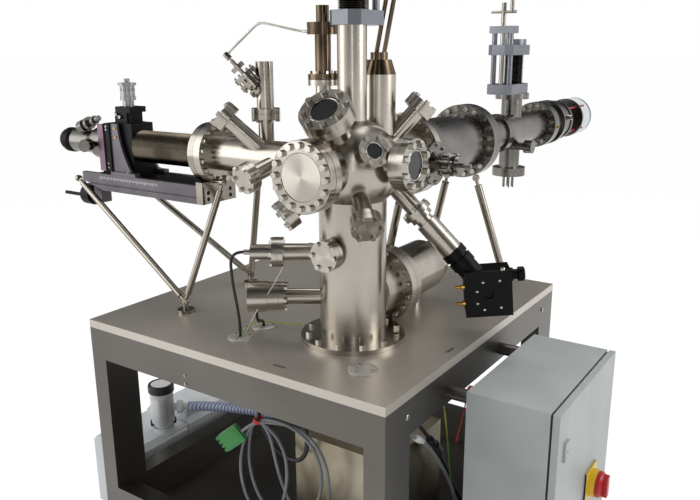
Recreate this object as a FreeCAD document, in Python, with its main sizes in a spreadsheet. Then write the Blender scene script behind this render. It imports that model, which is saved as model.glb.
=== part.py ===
import FreeCAD, Part
import math
import os
import re

import Sketcher
from FreeCAD import Placement, Rotation, Vector

# Photoemission electron microscope on its table.
# Frame: +X runs along the table's front edge to the cabinet side, +Y runs back along the
# electron lens, +Z is up. The origin is the middle of the table's footprint, on the floor.
# All lengths are in millimetres and all angles in degrees.

SIZES = {
    # table
    "table_width": 876,
    "table_depth": 924,
    "table_height": 700,
    "top_thickness": 20,
    "leg_width": 50,
    "leg_depth": 96,
    "foot_height": 80,
    "foot_radius": 30,
    "stud_radius": 8,
    "rail_height": 80,
    "rail_width": 50,
    "lower_rail_height": 100,
    "shelf_thickness": 6,
    "cable_hole_radius": 12,
    "cable_hole_x": -220,
    "cable_hole_rear_y": -65,
    "cable_hole_front_y": -151,
    "cap_hole_x": 124,
    "cap_hole_y": -149,
    "cap_hole_radius": 10,
    "slot_length": 26,
    "slot_width": 9,
    "front_slot_x": -37,
    "front_slot_y": -230,
    "side_slot_x": 228,
    "side_slot_y": 50,
    "foot_pad_height": 12,
    "lower_rail_bottom": 135,
    # control cabinet
    "cabinet_width": 400,
    "cabinet_height": 500,
    "cabinet_depth": 185,
    "cabinet_wall": 2,
    "cabinet_flange": 12,
    "cabinet_front_y": 252,
    "cabinet_drop": 55,
    "standoff_length": 50,
    "standoff_radius": 15,
    "mounting_plate_gap": 15,
    "door_depth": 20,
    "door_gap": 5,
    "lock_radius": 9,
    "lock_inset": 46,
    "lock_drop": 97,
    "switch_radius": 31,
    "switch_lever_length": 52,
    "switch_lever_width": 16,
    "switch_lever_height": 24,
    "switch_inset": 250,
    "switch_drop": 275,
    "standoff_drop": 72,
    "standoff_near_inset": 12,
    "standoff_far_inset": 97,
    "plate_stud_inset": 45,
    "plate_stud_radius": 4,
    "lock_width": 24,
    "lock_height": 44,
    "lock_plate_depth": 6,
    "lock_slot_width": 3,
    "switch_plate_width": 76,
    "switch_plate_depth": 6,
    "switch_collar_depth": 16,
    "switch_disc_depth": 14,
    "hinge_radius": 4,
    "hinge_height": 24,
    "hinge_inset": 70,
    "hinge_offset": 5,
    # chamber
    "column_x": 184,
    "column_y": -192,
    "axis_height": 404,
    "sphere_radius": 106,
    "column_radius": 77,
    "base_flange_radius": 122.5,
    "base_flange_thickness": 12,
    "top_tube_radius": 32,
    "top_tube_length": 300,
    # conflat flanges: radius, thickness, tube radius, bolt circle radius
    "flange160_radius": 101.5,
    "flange160_thickness": 22,
    "flange160_bolt_circle": 90.5,
    "flange100_radius": 76,
    "flange100_thickness": 20,
    "flange100_bolt_circle": 65.1,
    "flange63_radius": 56.8,
    "flange63_thickness": 17.5,
    "flange63_bolt_circle": 46.1,
    "flange40_radius": 35,
    "flange40_thickness": 13,
    "flange40_bolt_circle": 29.4,
    "tube160_radius": 77,
    "tube100_radius": 52,
    "tube63_radius": 33,
    "tube40_radius": 20,
    "blank_face_radius": 51,
    "blank_face_depth": 1.5,
    "bolt_hole_radius": 4.2,
    # ports, each from the middle of the sphere to its joint plane
    "front_port_length": 169,
    "side_port_length": 142,
    "side_port_lift": 14,
    "arm_port_length": 419,
    "arm_tube_radius": 42,
    "lens_port_length": 238,
    "upper_port_length": 161,
    "upper_port_azimuth": -85,
    "upper_port_elevation": 48,
    "small_port_length": 116,
    "small_port_azimuth": -33.5,
    "small_port_elevation": 22,
    "lower_port_length": 183,
    "lower_port_azimuth": -45.5,
    "lower_port_elevation": -33,
    "source_port_azimuth": 23,
    "source_port_elevation": -47,
    "target_offset": 80,
    "back_port_azimuth": 42,
    "back_port_elevation": 48,
    "back_port_length": 165,
    "column_port_height": 221,
    "column_port_length": 102,
    "window_thickness": 3,
    "window_recess": 5,
    "sight_depth": 60,
    "arm_upper_azimuth": -147,
    "arm_upper_elevation": 42,
    "arm_upper_distance": 230,
    "arm_upper_length": 146,
    "arm_lower_azimuth": -99.6,
    "arm_lower_elevation": -16,
    "arm_lower_distance": 200,
    "arm_lower_length": 112,
    "rear_small_azimuth": -125,
    "rear_small_elevation": -32,
    "rear_small_length": 180,
    "source_port_length": 163,
    "gauge_port_length": 171,
    "rear_port_length": 140,
    "valve_joint": 102,
    "gauge_joint": 185,
    "window63_radius": 31,
    "window40_radius": 17,
    "window_edge": 4,
    "feed_port_distance": 144.5,
    "feed_port_length": 125,
    "feed_port_drop": 2,
    # transfer arm to the left
    "bracket_thickness": 22,
    "bracket_half_width": 60,
    "bracket_drop": 124,
    "bracket_setback": 9,
    "bracket_start": "=arm_port_length - bracket_setback",
    "rail_length": 448,
    "rail_half_width": 60,
    "rail_side_height": 47,
    "rail_wall": 12,
    "rail_taper": 86,
    "rail_bottom_drop": 124,
    "crank_drop": 150,
    "crank_offset": -20,
    "crank_radius": 30,
    "crank_thickness": 33,
    "crank_handle_length": 72,
    "crank_handle_radius": 5,
    "crank_hub_length": 18,
    "crank_block_length": 30,
    "crank_block_width": 34,
    "bellows_radius": 43,
    "bellows_depth": 7,
    "bellows_pitch": 12,
    "bellows_length": 246,
    "yoke_start": "=arm_port_length + flange100_thickness + bellows_length",
    "yoke_thickness": 71,
    "yoke_half_width": 42,
    "yoke_height": 130,
    "yoke_bottom_drop": 68,
    "top_block_height": 28,
    "top_block_width": 54,
    "gusset_thickness": 8,
    "gusset_reach": 98,
    "bearing_thickness": 22,
    "swivel_thickness": 22,
    "swivel_half_width": 58,
    "swivel_height": 126,
    "micrometer_radius": 21,
    "micrometer_height": 55,
    "head_radius": 45,
    "head_length": 166,
    "head_port_radius": 17,
    "head_port_reach": 92,
    "knob_radius": 33,
    "knob_length": 55,
    "bracket_hole_drop": 96,
    "bracket_hole_spacing": 16,
    "bracket_hole_radius": 5.5,
    "bracket_hole_depth": 10,
    "bracket_hole_offset": 40,
    "rail_taper_height": 20,
    "rail_groove_height": 15,
    "rail_groove_width": 5,
    "rail_groove_depth": 5,
    "crank_inset": 15,
    "crank_hub_radius": 12,
    "saddle_gap": 2,
    "cover_start": 6,
    "gusset_height": 129,
    "cap_overhang": 14,
    "cap_thickness": 15,
    "bearing_inset": 4,
    "micrometer_disc_radius": 24,
    "micrometer_disc_height": 7,
    "micrometer_knob_radius": 8,
    "micrometer_knob_height": 11,
    "head_port_station": 62,
    "head_port_pair": 9,
    "yoke_plate_thickness": 27,
    "yoke_nose_half_width": 37,
    "bridge_overhang": 5,
    "bridge_setback": 27,
    "cap_pin_radius": 2.5,
    "cap_pin_offset": 20,
    "saddle_reach": 62,
    "gusset_foot_width": 18,
    "gusset_curve_radius": 245,
    "gusset_curve_rise": 14,
    "micrometer_setback": 48,
    "head_front_azimuth": -68,
    "head_back_azimuth": 75,
    "head_back_elevation": 20,
    "head_fitting_distance": 121,
    "head_fitting_offset": 20,
    "head_fitting_height": 40,
    "head_fitting_elevation": 20,
    "head_fitting_length": 88,
    "head_fitting_radius": 18,
    # struts and their feet
    "strut_radius": 8.5,
    "lens_strut_radius": 10.5,
    "rod_end_radius": 5,
    "ball_radius": 9,
    "eye_thickness": 10,
    "foot_plate_radius": 22,
    "foot_plate_thickness": 8,
    "foot_post_height": 20,
    "left_foot_x": -458,
    "left_foot_y": -95,
    "rear_foot_x": -475,
    "rear_foot_y": 178,
    "lens_foot_x": 125,
    "lens_foot_y": 590,
    "near_foot_x": -106,
    "near_foot_y": 300,
    "strut_spread": 45,
    "near_spread": 20,
    "rear_strut_distance": 296,
    "strut_neck": 22,
    "strut_stub": 28,
    "strut_pin_radius": 4,
    # gas inlet on the arm
    "valve_distance": 272,
    "valve_offset": 30,
    "valve_tube_radius": 19,
    "valve_body_radius": 21,
    "valve_body_height": 224,
    "leak_valve_azimuth": 217,
    "leak_valve_elevation": 48,
    "leak_wheel_radius": 17,
    "leak_wheel_thickness": 11,
    "leak_stem_radius": 5,
    "gas_pipe_radius": 3,
    "leak_branch_height": 141,
    "leak_flange_start": 40,
    "leak_flange_radius": 30,
    "leak_flange_thickness": 14,
    "leak_wheel_start": 88,
    "leak_stem_end": 116,
    # upright tubes behind the sphere
    "gauge_tube_radius": 18,
    "gauge_tube_height": 345,
    "gauge_tube_x": -100,
    "gauge_tube_y": 32,
    "lock_tube_radius": 38,
    "lock_tube_height": 196,
    "lock_neck_radius": 28,
    "lock_neck_height": 32,
    "lock_tube_x": 8,
    "lock_tube_y": 97,
    "gauge_cap_drop": 62,
    "lock_rod_spread": 10,
    "lock_rod_radius": 5,
    "lock_rod_length": 130,
    "lock_rod_elevation": 78,
    # electron lens and detector
    "lens_tube_radius": 77,
    "tee_run_radius": 52,
    "tee_start": 568,
    "tee_branch_distance": 905,
    "tee_length": 542,
    "tee_branch_radius": 32,
    "tee_flange_radius": 52,
    "tee_branch_top": 116,
    "tee_branch_bottom": 117,
    "detector_radius": 66,
    "detector_length": 170,
    "detector_plate_radius": 70,
    "detector_plate_thickness": 12,
    "detector_rod_radius": 4,
    "detector_rod_circle": 58,
    "detector_rod_length": 200,
    "tee_ring_start": 760,
    "tee_side_distance": 866,
    "tee_side_drop": 44,
    "pin_count": 6,
    "pin_radius": 3,
    "pin_length": 48,
    "pin_circle": 16,
    "detector_connector_radius": 20,
    "detector_connector_length": 97,
    "detector_hole_radius": 30,
    "detector_disc_distance": 110,
    "detector_disc_thickness": 10,
    "detector_rod_count": 4,
    "feed_disc_radius": 50,
    "feed_disc_thickness": 8,
    "feed_body_radius": 18,
    "feed_body_length": 70,
    "feed_rod_radius": 5,
    "feed_rod_length": 95,
    "tee_side_neck": 14,
    "tee_side_length": 40,
    # lift stages
    "stage_plate_thickness": 30,
    "stage_half_width": 40,
    "stage_back": 45,
    "stage_front": 125,
    "stage_corner": 20,
    "stage_gap": 86,
    "stage_height": 200,
    "stage_rod_radius": 8,
    "stage_rod_spread": 26,
    "stage_bellows_radius": 30,
    "stage_tube_radius": 11,
    "stage_handle_length": 78,
    "stage_screw_radius": 7,
    "stage_bridge_reach": 52,
    "top_stage_front": 84,
    "top_stage_bridge_reach": 46,
    "stage_rod_inset": 30,
    "stage_tube_flange": 32,
    "stage_tube_height": 72,
    "stage_tube_shift": 14,
    "stage_bellows_pitch": 9,
    "stage_bellows_depth": 5,
    "stage_screw_length": 236,
    "stage_bar_radius": 4,
    "stage_grip_height": 34,
    # lamp source
    "source_flange_radius": 27,
    "valve_nipple_radius": 26,
    "valve_nipple_length": 90,
    "condenser_radius": 29,
    "condenser_length": 46,
    "lamp_size": 108,
    "lamp_depth": 74,
    "lamp_fin_pitch": 6.5,
    "lamp_fin_thickness": 2.5,
    "lamp_fin_depth": 10,
    "lamp_hole_radius": 12,
    "barb_radius": 4,
    "barb_length": 22,
    "source_neck_length": 12,
    "lamp_azimuth": -60,
    "lamp_roll": 5,
    "lamp_neck_length": 78,
    "lamp_plate_thickness": 12,
    "barb_spread": 20,
    # gauges low on the column
    "gauge_azimuth": 213,
    "upper_gauge_height": 206,
    "lower_gauge_height": 99,
    "gauge_length": 235,
    "gauge_plug_radius": 6,
    "gauge_plug_length": 16,
    # pump tube at the back
    "rear_tube_height": 96,
    "rear_tube_radius": 68,
    "rear_tube_length": 330,
    # things in the bay and beside the table
    "pump_length": 430,
    "pump_width": 190,
    "pump_height": 262,
    "trap_radius": 34,
    "trap_height": 118,
    "housing_length": 260,
    "housing_width": 250,
    "housing_height": 330,
    "cable_radius": 3.5,
    "earth_wire_radius": 1.6,
    "bay_cable_radius": 4,
    "housing_x": -95,
    "housing_y": -110,
    "pump_foot_height": 30,
    "pump_inset": 14,
    "trap_neck": 26,
    "hose_nipple": 42,
    "hose_radius": 14,
    "coil_radius": 64,
    "coil_thickness": 8,
    "coil_x": -158,
    "coil_gap": 50,
    "coil_drop": 190,
    "plug_tilt": -38,
    "plug_length": 64,
    "plug_thickness": 16,
    "plug_height": 46,
    "plug_lead_length": 36,
    "plug_lead_gap": 20.3,
    "pump_clearance": 32,
    "pump_front_y": 132,
    "pump_front_length": 205,
    "pump_front_step": 12,
    "pump_cover_thickness": 22,
    "pump_cover_width": 105,
    "pump_cover_length": 78,
    "pump_seam": 6,
    "pump_bevel": 16,
    "trap_place_x": 42,
    "trap_place_y": 142,
    "trap_outlet_height": 68,
    "trap_outlet_azimuth": 40,
    "coil_straight": 120,
    "coil_tie_radius": 10,
    "plug_yaw": 22,
    # fits
    "seam_width": 1,
    "seam_depth": 2,
    "fit_gap": 0.3,
    # bolts
    "large_head_radius": 7.5,
    "large_head_height": 8,
    "small_head_radius": 5.8,
    "small_head_height": 6,
    "flange160_bolts": 20,
    "flange100_bolts": 16,
    "flange40_bolts": 6,
    "base_bolts": 12,
    "base_bolt_circle": 105,
    "rear_bolt_circle": 81,
    "rear_flange_radius": 92,
}

DOC = FreeCAD.newDocument("Microscope")
SHEET = DOC.addObject("Spreadsheet::Sheet", "Sizes")

for row, word in enumerate(SIZES, start=1):
    SHEET.set(f"A{row}", word)
    SHEET.setAlias(f"B{row}", word)
for row, value in enumerate(SIZES.values(), start=1):
    SHEET.set(f"B{row}", str(value))
DOC.recompute()


def size(word):
    """The number in the cell that has this alias."""
    return float(SHEET.get(word))


def named(text):
    """An expression of plain aliases, with the sheet's name put before each of them."""
    def add_sheet(found):
        return "Sizes." + found[0] if found[0] in SIZES else found[0]
    return re.sub(r"[a-z_][a-z0-9_]*", add_sheet, str(text))


def aim(azimuth, elevation):
    """Turns local +Z to this compass direction (from +X towards +Y) and height angle."""
    return Rotation(Vector(0, 0, 1), azimuth) * Rotation(Vector(0, 1, 0), 90 - elevation)


UPRIGHT = Rotation()
LEFT = aim(180, 0)
RIGHT = aim(0, 0)
FRONT = aim(-90, 0)
BACK = aim(90, 0)
DOWN = aim(0, -90)
HERE = ("0", "0", "0")
AXIS = ("column_x", "column_y", "table_height + axis_height")
TARGET = ("column_x", "column_y + target_offset", "table_height + axis_height")
TABLE_POINT = ("column_x", "column_y", "table_height")


def place(thing, at, turn=UPRIGHT):
    """Turns a sub-part and binds its place to the sheet, or sets it at a worked-out point."""
    if isinstance(at, Vector):
        thing.Placement = Placement(at, turn)
        return thing
    thing.Placement = Placement(Vector(), turn)
    for letter, text in zip("xyz", at):
        thing.setExpression(f"Placement.Base.{letter}", named(text))
    return thing


def moved(at, along_x="0", along_y="0", along_z="0"):
    """The place that lies this far from another one."""
    return (f"{at[0]} + ({along_x})", f"{at[1]} + ({along_y})", f"{at[2]} + ({along_z})")


def box(name, low, high):
    """A block between two corners, each given as three expressions."""
    thing = DOC.addObject("Part::Box", name)
    for prop, start, end in zip(("Length", "Width", "Height"), low, high):
        thing.setExpression(prop, named(f"({end}) - ({start})"))
    return place(thing, low)


def rod(name, radius, length, at=HERE, turn=UPRIGHT):
    """A plain cylinder along its local Z."""
    thing = DOC.addObject("Part::Cylinder", name)
    thing.setExpression("Radius", named(radius))
    thing.setExpression("Height", named(length))
    return place(thing, at, turn)


def ball(name, radius, at):
    """A plain sphere."""
    thing = DOC.addObject("Part::Sphere", name)
    thing.setExpression("Radius", named(radius))
    return place(thing, at)


def sketch_on(body, role, name):
    """A sketch on one of a body's own origin planes."""
    sketch = body.newObject("Sketcher::SketchObject", name)
    plane = next(item for item in body.Origin.OriginFeatures if item.Role == role)
    sketch.AttachmentSupport = [(plane, "")]
    sketch.MapMode = "FlatFace"
    return sketch


def outline(sketch, corners):
    """A closed run of straight lines, each corner bound to the sheet."""
    count = len(corners)
    for index in range(count):
        start = math.radians(360 * index / count)
        end = math.radians(360 * (index + 1) / count)
        sketch.addGeometry(Part.LineSegment(
            Vector(50 * math.cos(start), 50 * math.sin(start), 0),
            Vector(50 * math.cos(end), 50 * math.sin(end), 0)), False)
    for index, (across, up) in enumerate(corners):
        sketch.addConstraint(Sketcher.Constraint("Coincident", index, 2, (index + 1) % count, 1))
        if across == "0":
            sketch.addConstraint(Sketcher.Constraint("PointOnObject", index, 1, -2))
        else:
            number = sketch.addConstraint(Sketcher.Constraint("DistanceX", -1, 1, index, 1, 10))
            sketch.setExpression(f"Constraints[{number}]", named(across))
        if up == "0":
            sketch.addConstraint(Sketcher.Constraint("PointOnObject", index, 1, -1))
        else:
            number = sketch.addConstraint(Sketcher.Constraint("DistanceY", -1, 1, index, 1, 10))
            sketch.setExpression(f"Constraints[{number}]", named(up))


def turned(name, corners, at=HERE, turn=UPRIGHT):
    """A body turned about its local Z from an outline of (radius, height) corners."""
    body = DOC.addObject("PartDesign::Body", name)
    sketch = sketch_on(body, "XZ_Plane", name + "_outline")
    outline(sketch, corners)
    feature = body.newObject("PartDesign::Revolution", name + "_turned")
    feature.Profile = sketch
    feature.ReferenceAxis = (sketch, ["V_Axis"])
    feature.Angle = 360
    return place(body, at, turn)


def stack(start, *stations):
    """The outline of round steps: each station is a radius and the height where it ends."""
    corners = [("0", start)]
    height = start
    for radius, end in stations:
        corners += [(radius, height), (radius, end)]
        height = end
    return corners + [("0", height)]


def plate(name, corners, thickness, at=HERE, turn=UPRIGHT, holes=()):
    """A padded plate with round through holes, each given as (radius, x, y)."""
    body = DOC.addObject("PartDesign::Body", name)
    sketch = sketch_on(body, "XY_Plane", name + "_outline")
    outline(sketch, corners)
    for radius, across, up in holes:
        index = sketch.addGeometry(Part.Circle(Vector(1, 1, 0), Vector(0, 0, 1), 1), False)
        number = sketch.addConstraint(Sketcher.Constraint("Radius", index, 1))
        sketch.setExpression(f"Constraints[{number}]", named(radius))
        for kind, text in (("DistanceX", across), ("DistanceY", up)):
            number = sketch.addConstraint(Sketcher.Constraint(kind, -1, 1, index, 3, 10))
            sketch.setExpression(f"Constraints[{number}]", named(text))
    feature = body.newObject("PartDesign::Pad", name + "_pad")
    feature.Profile = sketch
    feature.setExpression("Length", named(thickness))
    return place(body, at, turn)


def joined(name, pieces, at=HERE, turn=UPRIGHT):
    """Pieces that are welded or made in one."""
    thing = DOC.addObject("Part::MultiFuse", name)
    thing.Shapes = pieces
    thing.Refine = True
    return place(thing, at, turn)


def without(name, base, tool, at=HERE, turn=UPRIGHT):
    """A piece with another one's shape taken out of it."""
    thing = DOC.addObject("Part::Cut", name)
    thing.Base = base
    thing.Tool = tool
    return place(thing, at, turn)


def together(name, pieces, at=HERE, turn=UPRIGHT):
    """Separate solids that make one sub-part."""
    thing = DOC.addObject("Part::Compound", name)
    thing.Links = pieces
    return place(thing, at, turn)


def flange_pair(kind, joint):
    """Stations of a bolted pair of flanges that meet at this distance."""
    return [
        (f"tube{kind}_radius", f"{joint} - flange{kind}_thickness"),
        (f"flange{kind}_radius", f"{joint} - seam_width / 2"),
        (f"flange{kind}_radius - seam_depth", f"{joint} + seam_width / 2"),
        (f"flange{kind}_radius", f"{joint} + flange{kind}_thickness")]


def flange_end(kind, joint):
    """Stations of a tube that ends in one flange at its joint."""
    return [
        (f"tube{kind}_radius", f"{joint} - flange{kind}_thickness"),
        (f"flange{kind}_radius", joint)]


LARGE_HEADS = []
SMALL_HEADS = []


def hexagon(middle, turn, radius, height):
    """A bolt head or nut standing on a face."""
    corners = [Vector(radius * math.cos(math.radians(60 * step)),
                      radius * math.sin(math.radians(60 * step)), 0) for step in range(7)]
    solid = Part.Face(Part.makePolygon(corners)).extrude(Vector(0, 0, height))
    solid.Placement = Placement(middle, turn)
    return solid


def bolt_ring(heads, centre, turn, distance, circle, count, start=0.5, outward=1):
    """One ring of bolt heads on a flange face, at this distance along the port."""
    kind = "large" if heads is LARGE_HEADS else "small"
    flip = turn if outward > 0 else turn * Rotation(Vector(1, 0, 0), 180)
    for step in range(count):
        angle = 2 * math.pi * (step + start) / count
        local = Vector(circle * math.cos(angle), circle * math.sin(angle), distance)
        heads.append(hexagon(centre + turn.multVec(local), flip,
                             size(f"{kind}_head_radius"), size(f"{kind}_head_height")))


AXIS_POINT = Vector(size("column_x"), size("column_y"), size("table_height") + size("axis_height"))
TARGET_POINT = AXIS_POINT + Vector(0, size("target_offset"), 0)
COLUMN_FOOT = Vector(size("column_x"), size("column_y"), size("table_height"))
NODES = {}


# The table is a welded frame of posts and rails with a thick top plate laid on it.
UNDERSIDE = "table_height - top_thickness"
SHELF_TOP = "lower_rail_bottom + shelf_thickness"
ENDS = (("-table_width / 2", "-table_width / 2 + {0}"), ("table_width / 2 - {0}", "table_width / 2"))
SIDES = (("-table_depth / 2", "-table_depth / 2 + {0}"), ("table_depth / 2 - {0}", "table_depth / 2"))
frame_parts = []
foot_parts = []
for end, (left, right) in enumerate(ENDS):
    for side, (front, back) in enumerate(SIDES):
        frame_parts.append(box(
            f"post_{end}{side}",
            (left.format("leg_width"), front.format("leg_depth"), "foot_height"),
            (right.format("leg_width"), back.format("leg_depth"), UNDERSIDE)))
        foot_parts.append(turned(
            f"foot_{end}{side}",
            stack("0", ("foot_radius", "foot_pad_height"), ("foot_radius / 2", "foot_pad_height * 2"),
                  ("stud_radius", "foot_height")),
            (("-1" if end == 0 else "1") + " * (table_width - leg_width) / 2",
             ("-1" if side == 0 else "1") + " * (table_depth - leg_depth) / 2", "0")))
for name, low, high in (("top", "table_height - top_thickness - rail_height", UNDERSIDE),
                        ("lower", "lower_rail_bottom", "lower_rail_bottom + lower_rail_height")):
    for side, (front, back) in enumerate(SIDES):
        frame_parts.append(box(
            f"{name}_long_rail_{side}", ("-table_width / 2", front.format("rail_width"), low),
            ("table_width / 2", back.format("rail_width"), high)))
    for end, (left, right) in enumerate(ENDS):
        frame_parts.append(box(
            f"{name}_side_rail_{end}", (left.format("rail_width"), "-table_depth / 2", low),
            (right.format("rail_width"), "table_depth / 2", high)))
STANDOFF_Y = ("-table_depth / 2 + cabinet_front_y + standoff_near_inset",
              "-table_depth / 2 + cabinet_front_y + cabinet_width - standoff_far_inset")
STANDOFF_Z = ("table_height - standoff_drop", "lower_rail_bottom + lower_rail_height / 2")
for row, up in enumerate(STANDOFF_Z):
    for column, across in enumerate(STANDOFF_Y):
        frame_parts.append(rod(f"standoff_{row}{column}", "standoff_radius", "standoff_length",
                               ("table_width / 2", across, up), RIGHT))
NODES["table_frame"] = joined("table_frame", frame_parts)
NODES["levelling_feet"] = together("levelling_feet", foot_parts)
NODES["base_shelf"] = box(
    "base_shelf", ("-table_width / 2 + rail_width", "-table_depth / 2 + rail_width", "lower_rail_bottom"),
    ("table_width / 2 - rail_width", "table_depth / 2 - rail_width", SHELF_TOP))


def slot_tool(name, across, along, turn):
    """A short slot through the top."""
    pieces = [box(name + "_middle", ("-slot_length / 2", "-slot_width / 2", "0"),
                  ("slot_length / 2", "slot_width / 2", "top_thickness * 3"))]
    for end, sign in enumerate(("-1", "1")):
        pieces.append(rod(f"{name}_end_{end}", "slot_width / 2", "top_thickness * 3",
                          (f"{sign} * slot_length / 2", "0", "0")))
    return joined(name, pieces, (across, along, "table_height - top_thickness * 2"), turn)


CABLE_HOLES = (("cable_hole_x", "cable_hole_rear_y"), ("cable_hole_x", "cable_hole_front_y"),
               ("cap_hole_x", "cap_hole_y"))
top_tools = [slot_tool("front_slot", "column_x + front_slot_x", "column_y + front_slot_y", UPRIGHT),
             slot_tool("side_slot", "column_x + side_slot_x", "column_y + side_slot_y",
                       Rotation(Vector(0, 0, 1), 90))]
for index, (across, along) in enumerate(CABLE_HOLES):
    radius = "cable_hole_radius" if index < 2 else "cap_hole_radius"
    top_tools.append(rod(f"cable_hole_{index}", radius, "top_thickness * 3",
                         (f"column_x + ({across})", f"column_y + ({along})",
                          "table_height - top_thickness * 2")))
NODES["table_top"] = without(
    "table_top",
    box("top_blank", ("-table_width / 2", "-table_depth / 2", UNDERSIDE),
        ("table_width / 2", "table_depth / 2", "table_height")),
    joined("top_openings", top_tools))

# The control cabinet is a folded steel box with a rain rim, which the pan-shaped door covers.
CABINET_X = "table_width / 2 + standoff_length"
CABINET_FACE = "table_width / 2 + standoff_length + cabinet_depth"
CABINET_NEAR = "-table_depth / 2 + cabinet_front_y"
CABINET_FAR = "-table_depth / 2 + cabinet_front_y + cabinet_width"
CABINET_TOP = "table_height - cabinet_drop"
CABINET_BOTTOM = "table_height - cabinet_drop - cabinet_height"


def cabinet_ring(name, inset, start, end):
    """A box of the cabinet's outline, taken in by this much all round."""
    return box(name, (start, f"{CABINET_NEAR} + {inset}", f"{CABINET_BOTTOM} + {inset}"),
               (end, f"{CABINET_FAR} - ({inset})", f"{CABINET_TOP} - ({inset})"))


RIM_END = f"{CABINET_FACE} + door_depth - cabinet_wall - fit_gap"
cabinet_shell = without(
    "cabinet_shell",
    joined("cabinet_solid", [cabinet_ring("cabinet_block", "0", CABINET_X, CABINET_FACE),
                             cabinet_ring("cabinet_rim", "cabinet_flange", CABINET_FACE, RIM_END)]),
    joined("cabinet_space", [
        cabinet_ring("cabinet_inside", "cabinet_wall", f"{CABINET_X} + cabinet_wall",
                     f"{CABINET_FACE} - cabinet_wall"),
        cabinet_ring("rim_inside", "cabinet_flange + cabinet_wall", f"{CABINET_X} + cabinet_wall",
                     f"{RIM_END} + cabinet_wall")]))
mounting_plate = cabinet_ring(
    "mounting_plate", "cabinet_flange + mounting_plate_gap",
    f"{CABINET_X} + mounting_plate_gap", f"{CABINET_X} + mounting_plate_gap + cabinet_wall")
plate_studs = []
for row, up in enumerate((f"{CABINET_TOP} - plate_stud_inset", f"{CABINET_BOTTOM} + plate_stud_inset")):
    for column, across in enumerate((f"{CABINET_NEAR} + plate_stud_inset",
                                     f"{CABINET_FAR} - plate_stud_inset")):
        plate_studs.append(rod(f"plate_stud_{row}{column}", "plate_stud_radius",
                               "mounting_plate_gap + cabinet_wall",
                               (f"{CABINET_X} + cabinet_wall / 2", across, up), RIGHT))
HINGE_X = f"{CABINET_FACE} + door_gap"
HINGE_Y = f"{CABINET_FAR} + hinge_offset"
body_knuckles = []
door_knuckles = []
for index, up in enumerate((f"{CABINET_TOP} - hinge_inset", f"{CABINET_BOTTOM} + hinge_inset")):
    door_knuckles += [
        rod(f"door_knuckle_{index}", "hinge_radius", "hinge_height - fit_gap",
            (HINGE_X, HINGE_Y, f"{up} - hinge_height")),
        box(f"door_leaf_{index}", (HINGE_X, CABINET_FAR, f"{up} - hinge_height"),
            (f"{HINGE_X} + hinge_radius * 2", HINGE_Y, f"{up} - fit_gap"))]
    body_knuckles += [
        rod(f"body_knuckle_{index}", "hinge_radius", "hinge_height", (HINGE_X, HINGE_Y, up)),
        box(f"body_leaf_{index}", (f"{HINGE_X} - hinge_radius * 4", CABINET_FAR, up),
            (f"{HINGE_X} - fit_gap * 2", HINGE_Y, f"{up} + hinge_height"))]
NODES["cabinet_body"] = joined(
    "cabinet_body", [cabinet_shell, mounting_plate] + plate_studs + body_knuckles)

DOOR_FRONT = f"{CABINET_FACE} + door_depth"
LOCK_Y = f"{CABINET_NEAR} + lock_inset"
LOCK_Z = f"{CABINET_TOP} - lock_drop"
SWITCH_Y = f"{CABINET_NEAR} + switch_inset"
SWITCH_Z = f"{CABINET_TOP} - switch_drop"
door_pan = without(
    "door_pan",
    cabinet_ring("door_block", "0", f"{CABINET_FACE} + door_gap", DOOR_FRONT),
    cabinet_ring("door_hollow", "cabinet_wall", CABINET_FACE, f"{DOOR_FRONT} - cabinet_wall"))
door_solid = joined("door_solid", door_knuckles + [
    door_pan,
    box("lock_plate", (f"{DOOR_FRONT} - cabinet_wall / 2", f"{LOCK_Y} - lock_width / 2",
                       f"{LOCK_Z} - lock_height / 2"),
        (f"{DOOR_FRONT} + lock_plate_depth", f"{LOCK_Y} + lock_width / 2", f"{LOCK_Z} + lock_height / 2")),
    box("switch_plate", (f"{DOOR_FRONT} - cabinet_wall / 2", f"{SWITCH_Y} - switch_plate_width / 2",
                         f"{SWITCH_Z} - switch_plate_width / 2"),
        (f"{DOOR_FRONT} + switch_plate_depth", f"{SWITCH_Y} + switch_plate_width / 2",
         f"{SWITCH_Z} + switch_plate_width / 2")),
    rod("switch_collar", "switch_radius", "switch_collar_depth",
        (f"{DOOR_FRONT} + switch_plate_depth", SWITCH_Y, SWITCH_Z), RIGHT)])
NODES["cabinet_door"] = without(
    "cabinet_door", door_solid,
    rod("lock_bore", "lock_radius + fit_gap", "lock_plate_depth * 3",
        (f"{DOOR_FRONT} - cabinet_wall", LOCK_Y, LOCK_Z), RIGHT))
NODES["door_lock"] = without(
    "door_lock",
    rod("lock_insert", "lock_radius", "lock_plate_depth + cabinet_wall - fit_gap",
        (f"{DOOR_FRONT} - cabinet_wall", LOCK_Y, LOCK_Z), RIGHT),
    box("lock_key_slot", (f"{DOOR_FRONT} + lock_plate_depth / 3", f"{LOCK_Y} - lock_slot_width / 2",
                          f"{LOCK_Z} - lock_radius / 2"),
        (f"{DOOR_FRONT} + lock_plate_depth * 2", f"{LOCK_Y} + lock_slot_width / 2",
         f"{LOCK_Z} + lock_radius / 2")))
SWITCH_FACE = f"{DOOR_FRONT} + switch_plate_depth + switch_collar_depth + fit_gap"
NODES["switch_handle"] = joined("switch_handle", [
    turned("switch_disc",
           [("0", "0"), ("switch_radius", "0"), ("switch_radius", "switch_disc_depth * 0.6"),
            ("switch_radius * 0.85", "switch_disc_depth"), ("0", "switch_disc_depth")],
           (SWITCH_FACE, SWITCH_Y, SWITCH_Z), RIGHT),
    box("switch_lever", (SWITCH_FACE, f"{SWITCH_Y} - switch_lever_width / 2",
                         f"{SWITCH_Z} - switch_lever_length / 2"),
        (f"{SWITCH_FACE} + switch_lever_height", f"{SWITCH_Y} + switch_lever_width / 2",
         f"{SWITCH_Z} + switch_lever_length / 2"))])

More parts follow.
